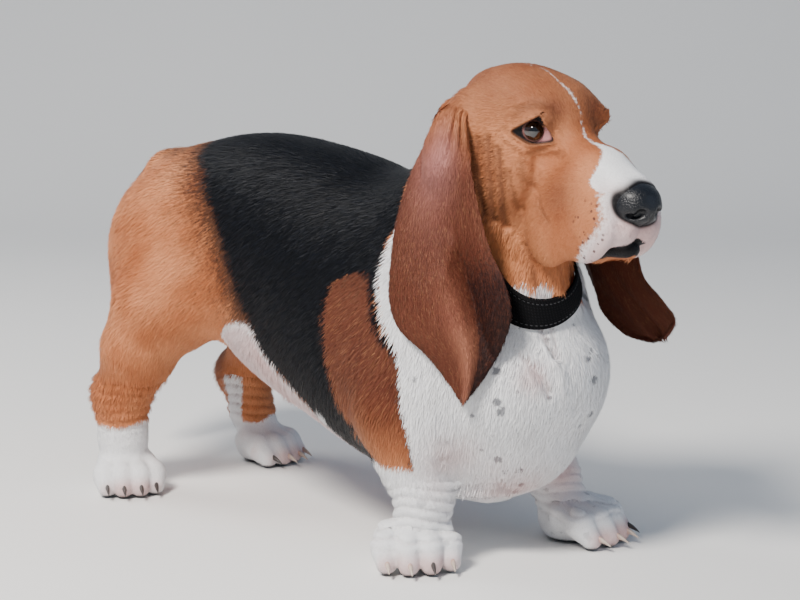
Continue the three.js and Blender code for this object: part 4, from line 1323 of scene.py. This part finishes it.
for foot_name, foot in FEET.items():
    kind, side_name = foot_name.split("_")
    length, width = foot[3:5]
    for number, (share, reach) in enumerate(zip(TOES, TOE_REACH)):
        t, a = np.meshgrid(np.linspace(0, 1, 12), np.linspace(0, 2 * math.pi, 16, endpoint=False),
                           indexing="ij")
        radius = CLAW_ROOT * (1 - 0.80 * t ** 1.8) * np.sqrt(np.clip(1 - (t - 0.02) ** 10, 0.02, 1))
        across = share * 1.06 * width + radius * 0.72 * np.cos(a)
        ahead = reach * length - 6 + CLAW_LONG * t
        up = CLAW_LEVEL - CLAW_DROP * t * t + radius * np.sin(a) * (1 - 0.25 * (np.sin(a) < 0))
        up = np.maximum(up, 0.6)
        x, y, z = on_foot(foot, across, ahead, up)
        points = np.stack([x, y, z], -1).reshape(-1, 3)
        dark_one = float((foot_name, number) in DARK_CLAWS)
        claw = mesh_object(f"{kind}_claw_{side_name}_{number + 1}_horn", points,
                           outward(points - points.mean(0), tube_faces(*t.shape)),
                           {"dark": np.full(len(points), dark_one),
                            "root": (1 - smooth(t, 0.25, 0.6)).ravel()})
        claw.data.materials.append(horn.material)
        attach(claw, "root")
        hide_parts(f"{kind}_claw_{side_name}_{number + 1}")

# The coat: short smooth hair that lies flat, from nose to tail and down the legs, as thin pointed tufts
# rooted in the skin. They are finest on the face and feet, and stand out most at the tail.
rng = np.random.default_rng(11)


def lie_of_hair(p, n):
    """The way the hair points: back along the trunk, down the legs, neck and tail, away from the nose on
    the head, and laid into the surface there."""
    x, y, z = p.T
    q = to_head(p)
    head = (in_head(mask)(p) < 10)[:, None]
    back = np.stack([np.sign(x) * 0.12, np.full(len(p), 1.0), -0.35 - 0.5 * smooth(np.abs(x), 40, 110)], 1)
    down = np.stack([np.sign(x) * 0.05, np.full(len(p), 0.22), np.full(len(p), -1.0)], 1)
    share = (1 - smooth(z, 130, 235))[:, None]
    share = np.maximum(share, smooth(-y, 150, 235)[:, None] * (1 - 0.25 * smooth(z, 300, 400))[:, None])
    share = np.maximum(share, smooth(y, 292, 330)[:, None])
    way = back * (1 - share) + down * share
    from_nose = q - [0, -128, -42]
    from_nose /= np.linalg.norm(from_nose, axis=1)[:, None]
    from_nose[:, 2] -= 0.45 * smooth(np.abs(q[:, 0]), 18, 46) * (1 - smooth(q[:, 2], 0, 40))
    way = np.where(head, from_nose @ HEAD_TURN.T, way)
    way = way - n * (way * n).sum(1)[:, None]
    return way / np.maximum(np.linalg.norm(way, axis=1), 1e-6)[:, None]


# Half the width of a tuft's patch on the map.
PATCH = 0.0014


def tufts(name, roots, n, way, long, wide, lift, marks, chart, slot):
    """One flat pointed blade a root: two points across the root, two across the middle, and the tip, lifted
    off the skin by a share of its length. Its shading follows the skin's, tipped a little at random, and
    its place on the map is a small patch at its root's."""
    count = len(roots)
    swing = rng.normal(0, 0.11, count)[:, None]
    right = np.cross(way, n)
    way = way + right * swing
    way /= np.linalg.norm(way, axis=1)[:, None]
    right = np.cross(way, n)
    long = (long * rng.uniform(0.7, 1.25, count))[:, None]
    wide = (wide * rng.uniform(0.75, 1.25, count))[:, None]
    lift = (lift * rng.uniform(0.5, 1.5, count))[:, None]
    base = roots - n * 0.35
    middle = roots + way * long * 0.5 + n * (long * lift * 0.62 + 0.35)
    tip = roots + way * long + n * (long * lift + 0.25)
    points = np.stack([base - right * wide / 2, base + right * wide / 2, middle - right * wide * 0.40,
                       middle + right * wide * 0.40, tip], 1)
    points[..., 2] = np.maximum(points[..., 2], 0.5)
    faces = np.array([(0, 1, 3), (0, 3, 2), (2, 3, 4)])[None] + (np.arange(count) * 5)[:, None, None]
    each = {key: np.repeat(values, 5) for key, values in marks.items()}
    each["tone"] = np.repeat(np.clip(rng.normal(0.5, 0.16, count), 0, 1), 5)
    each["along"] = np.tile([0.0, 0.0, 0.5, 0.5, 1.0], count)
    patch = np.array([(-1, -1), (1, -1), (-1, 0), (1, 0), (0, 1)]) * PATCH
    uv = (np.clip(chart, 0.004, 0.996)[:, None] + patch[None]).reshape(-1, 2)
    made = mesh_object(name, points.reshape(-1, 3), faces.reshape(-1, 3), each, uv=uv)
    shade = n + right * rng.normal(0, 0.15, count)[:, None] + way * rng.normal(0.03, 0.12, count)[:, None]
    shade /= np.linalg.norm(shade, axis=1)[:, None]
    made.data.normals_split_custom_set_from_vertices(np.repeat(shade, 5, 0).astype(np.float32))
    made.data.materials.append(coat)
    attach(made, "root")


def scatter(points, faces, spacing):
    """Roots at random on the faces, one on average for each spacing squared of their area: each root's
    face, and its shares of that face's corners."""
    a, b, c = (points[faces[:, k]] for k in range(3))
    area = np.linalg.norm(np.cross(b - a, c - a), axis=1) / 2
    number = np.floor(area / spacing ** 2 + rng.random(len(faces))).astype(int)
    face = np.repeat(np.arange(len(faces)), number)
    u, v = rng.random((2, len(face)))
    fold = u + v > 1
    u, v = np.where(fold, 1 - u, u), np.where(fold, 1 - v, v)
    return face, np.stack([1 - u - v, u, v], 1)


def blend_corners(values, faces, face, share):
    """The points' values at each root: the sum of its face's corners by its shares of them."""
    return np.einsum("ij,ij...->i...", share, values[faces[face]])


coat = coat_finish("short_coat")
middles = skin_points[skin_faces].mean(1)
d_mask, d_body, d_neck = in_head(mask)(middles), body(middles), neck(middles)
d_legs = np.minimum.reduce([leg(middles) for leg in legs])
# The piece of coat that each face of the skin carries, in the order of COATS below. A later line takes its
# faces from the ones above it.
x, y, z = middles.T
part_of = np.full(len(middles), 0)
part_of[y > 40] = 1
part_of[(d_neck < d_body) & (y < -110)] = 2
part_of[(z < 150) & (y < -100) & (d_legs < 6)] = 3
part_of[(z < 175) & (y > 120) & (d_legs < 8)] = 4
part_of[(z < 75) & (y < 0)] = 3
part_of[(z < 75) & (y > 0)] = 4
part_of[(d_mask < 9) & (z > 290)] = 5
part_of[(y > 305) & (np.abs(x) < 40) & (z > 100)] = 6
# Each piece of coat: its name, its slot, the tufts' spacing, length, width and lift, and the axis it
# unwraps round.
COATS = [
    ("coat_front", "coat_black", 2.3, 11.0, 1.15, 0.09, ((0, -170, 215), (0, 40, 260))),
    ("coat_rear", "coat_black", 2.2, 11.0, 1.15, 0.10, ((0, 40, 260), (0, 260, 300))),
    ("coat_neck", "coat_tan", 2.0, 9.5, 1.0, 0.10, ((0, -180, 250), (-8, -250, 420))),
    ("coat_fore_legs", "coat_white", 1.8, 6.5, 0.85, 0.08, ((0, -210, 150), (0, -214, 10))),
    ("coat_hind_legs", "coat_white", 1.85, 7.5, 0.9, 0.09, ((0, 240, 170), (0, 246, 10))),
    ("coat_head", "coat_head", 1.65, 4.6, 0.7, 0.08, ((-10, -270, 420), (-35, -440, 385))),
    ("coat_tail", "coat_tan", 1.8, 14.0, 1.0, 0.16, ((2, 310, 345), (6, 360, 130))),
]


# On the map: where the middles of a pair of legs lie, what an end's turn counts for, and the room at an end.
RIGHT_LEG_X, LEFT_LEG_X = -98, 92
END_LONG, END_ROOM = 90, 150


def unwrap(p, axis, halves):
    """Round the axis by angle and along it by distance, as a square. Past an end the angle over that end
    takes the distance's place. The left and right of a pair take a half of the square each."""
    a, b = np.array(axis, float)
    length = np.linalg.norm(b - a)
    way = (b - a) / length
    off = p - a
    if halves:
        off = off - np.array([1, 0, 0]) * np.where(p[:, :1] < 0, RIGHT_LEG_X, LEFT_LEG_X)
    t = off @ way
    side = np.cross(way, [0.3, 0.1, 1.0])
    side /= np.linalg.norm(side)
    other = np.cross(way, side)
    x, y = off @ side, off @ other
    round_ = np.arctan2(y, x) / (2 * math.pi) + 0.5
    held = np.clip(t, 0, length)
    over = END_LONG * np.arctan2(t - held, np.hypot(x, y) + 1)
    down = (held + over + END_ROOM) / (length + 2 * END_ROOM)
    if halves:
        round_ = round_ / 2 + np.where(p[:, 0] < 0, 0, 0.5)
    return np.stack([round_, down], 1)


for number, (name, slot, spacing, long, wide, lift, axis) in enumerate(COATS):
    faces = skin_faces[part_of == number]
    face, share = scatter(skin_points, faces, spacing)
    roots = blend_corners(skin_points, faces, face, share)
    n = blend_corners(skin_normals, faces, face, share)
    n /= np.linalg.norm(n, axis=1)[:, None]
    marks = coat_marks(roots)
    near_collar = off_collar(roots) < COLLAR_WIDE / 2 + 2
    near_collar &= np.linalg.norm(roots - COLLAR_AT, axis=1) < 150
    keep = (marks["dark"] < 0.3) & (marks["haw_and_ear_highlight"] < 0.3) & ~near_collar & (roots[:, 2] > 2.5)
    keep &= nose_field(to_head(roots)) > 1.0
    roots, n, marks = roots[keep], n[keep], {key: values[keep] for key, values in marks.items()}
    q = to_head(roots)
    size = np.full(len(roots), 1.0)
    if name == "coat_head":
        size = 0.62 + 0.75 * smooth(q[:, 1], -100, 70)
    if "legs" in name:
        size = 0.26 + 0.95 * smooth(roots[:, 2], 34, 125)
        lift = 0.03 + 0.06 * smooth(roots[:, 2], 40, 110)
    if name == "coat_rear":
        size = 1.0 + 0.35 * smooth(roots[:, 1], 180, 280) * (1 - smooth(roots[:, 2], 240, 330))
    if name == "coat_neck":
        size = 1.15 - 0.35 * smooth(roots[:, 2], 300, 420)
    tufts(name, roots, n, lie_of_hair(roots, n), long * size, wide * (0.6 + 0.4 * size),
          lift + np.zeros(len(roots)), marks, unwrap(roots, axis, "legs" in name), slot)

# The ears carry sleek hair, which lies flat and runs down them on both faces.
EAR_SPACING, EAR_HAIR_LONG, EAR_HAIR_WIDE, EAR_HAIR_LIFT = 1.75, 6.5, 0.8, 0.10
for (name, shape), (points, faces, marks, down, depth) in zip(EARS.items(), ear_skins):
    a, b, c = (points[faces[:, k]] for k in range(3))
    n_face = np.cross(b - a, c - a)
    n_face /= np.maximum(np.linalg.norm(n_face, axis=1), 1e-9)[:, None]
    face, share = scatter(points, faces, EAR_SPACING)
    roots, n = blend_corners(points, faces, face, share), n_face[face]
    way = blend_corners(down, faces, face, share)
    way = way - n * (way * n).sum(1)[:, None]
    way /= np.maximum(np.linalg.norm(way, axis=1), 1e-6)[:, None]
    own = {key: blend_corners(values, faces, face, share) for key, values in marks.items()}
    t = blend_corners(depth, faces, face, share)
    across = (roots[:, 1] - points[:, 1].min()) / np.ptp(points[:, 1])
    chart = np.stack([0.02 + 0.46 * across + 0.5 * (n @ np.array(shape["out"]) > 0), 0.02 + 0.96 * t], 1)
    every = np.ones(len(roots))
    tufts("coat_" + name, roots, n, way, EAR_HAIR_LONG * every, EAR_HAIR_WIDE * every,
          EAR_HAIR_LIFT * every, own, chart, "coat_ear")
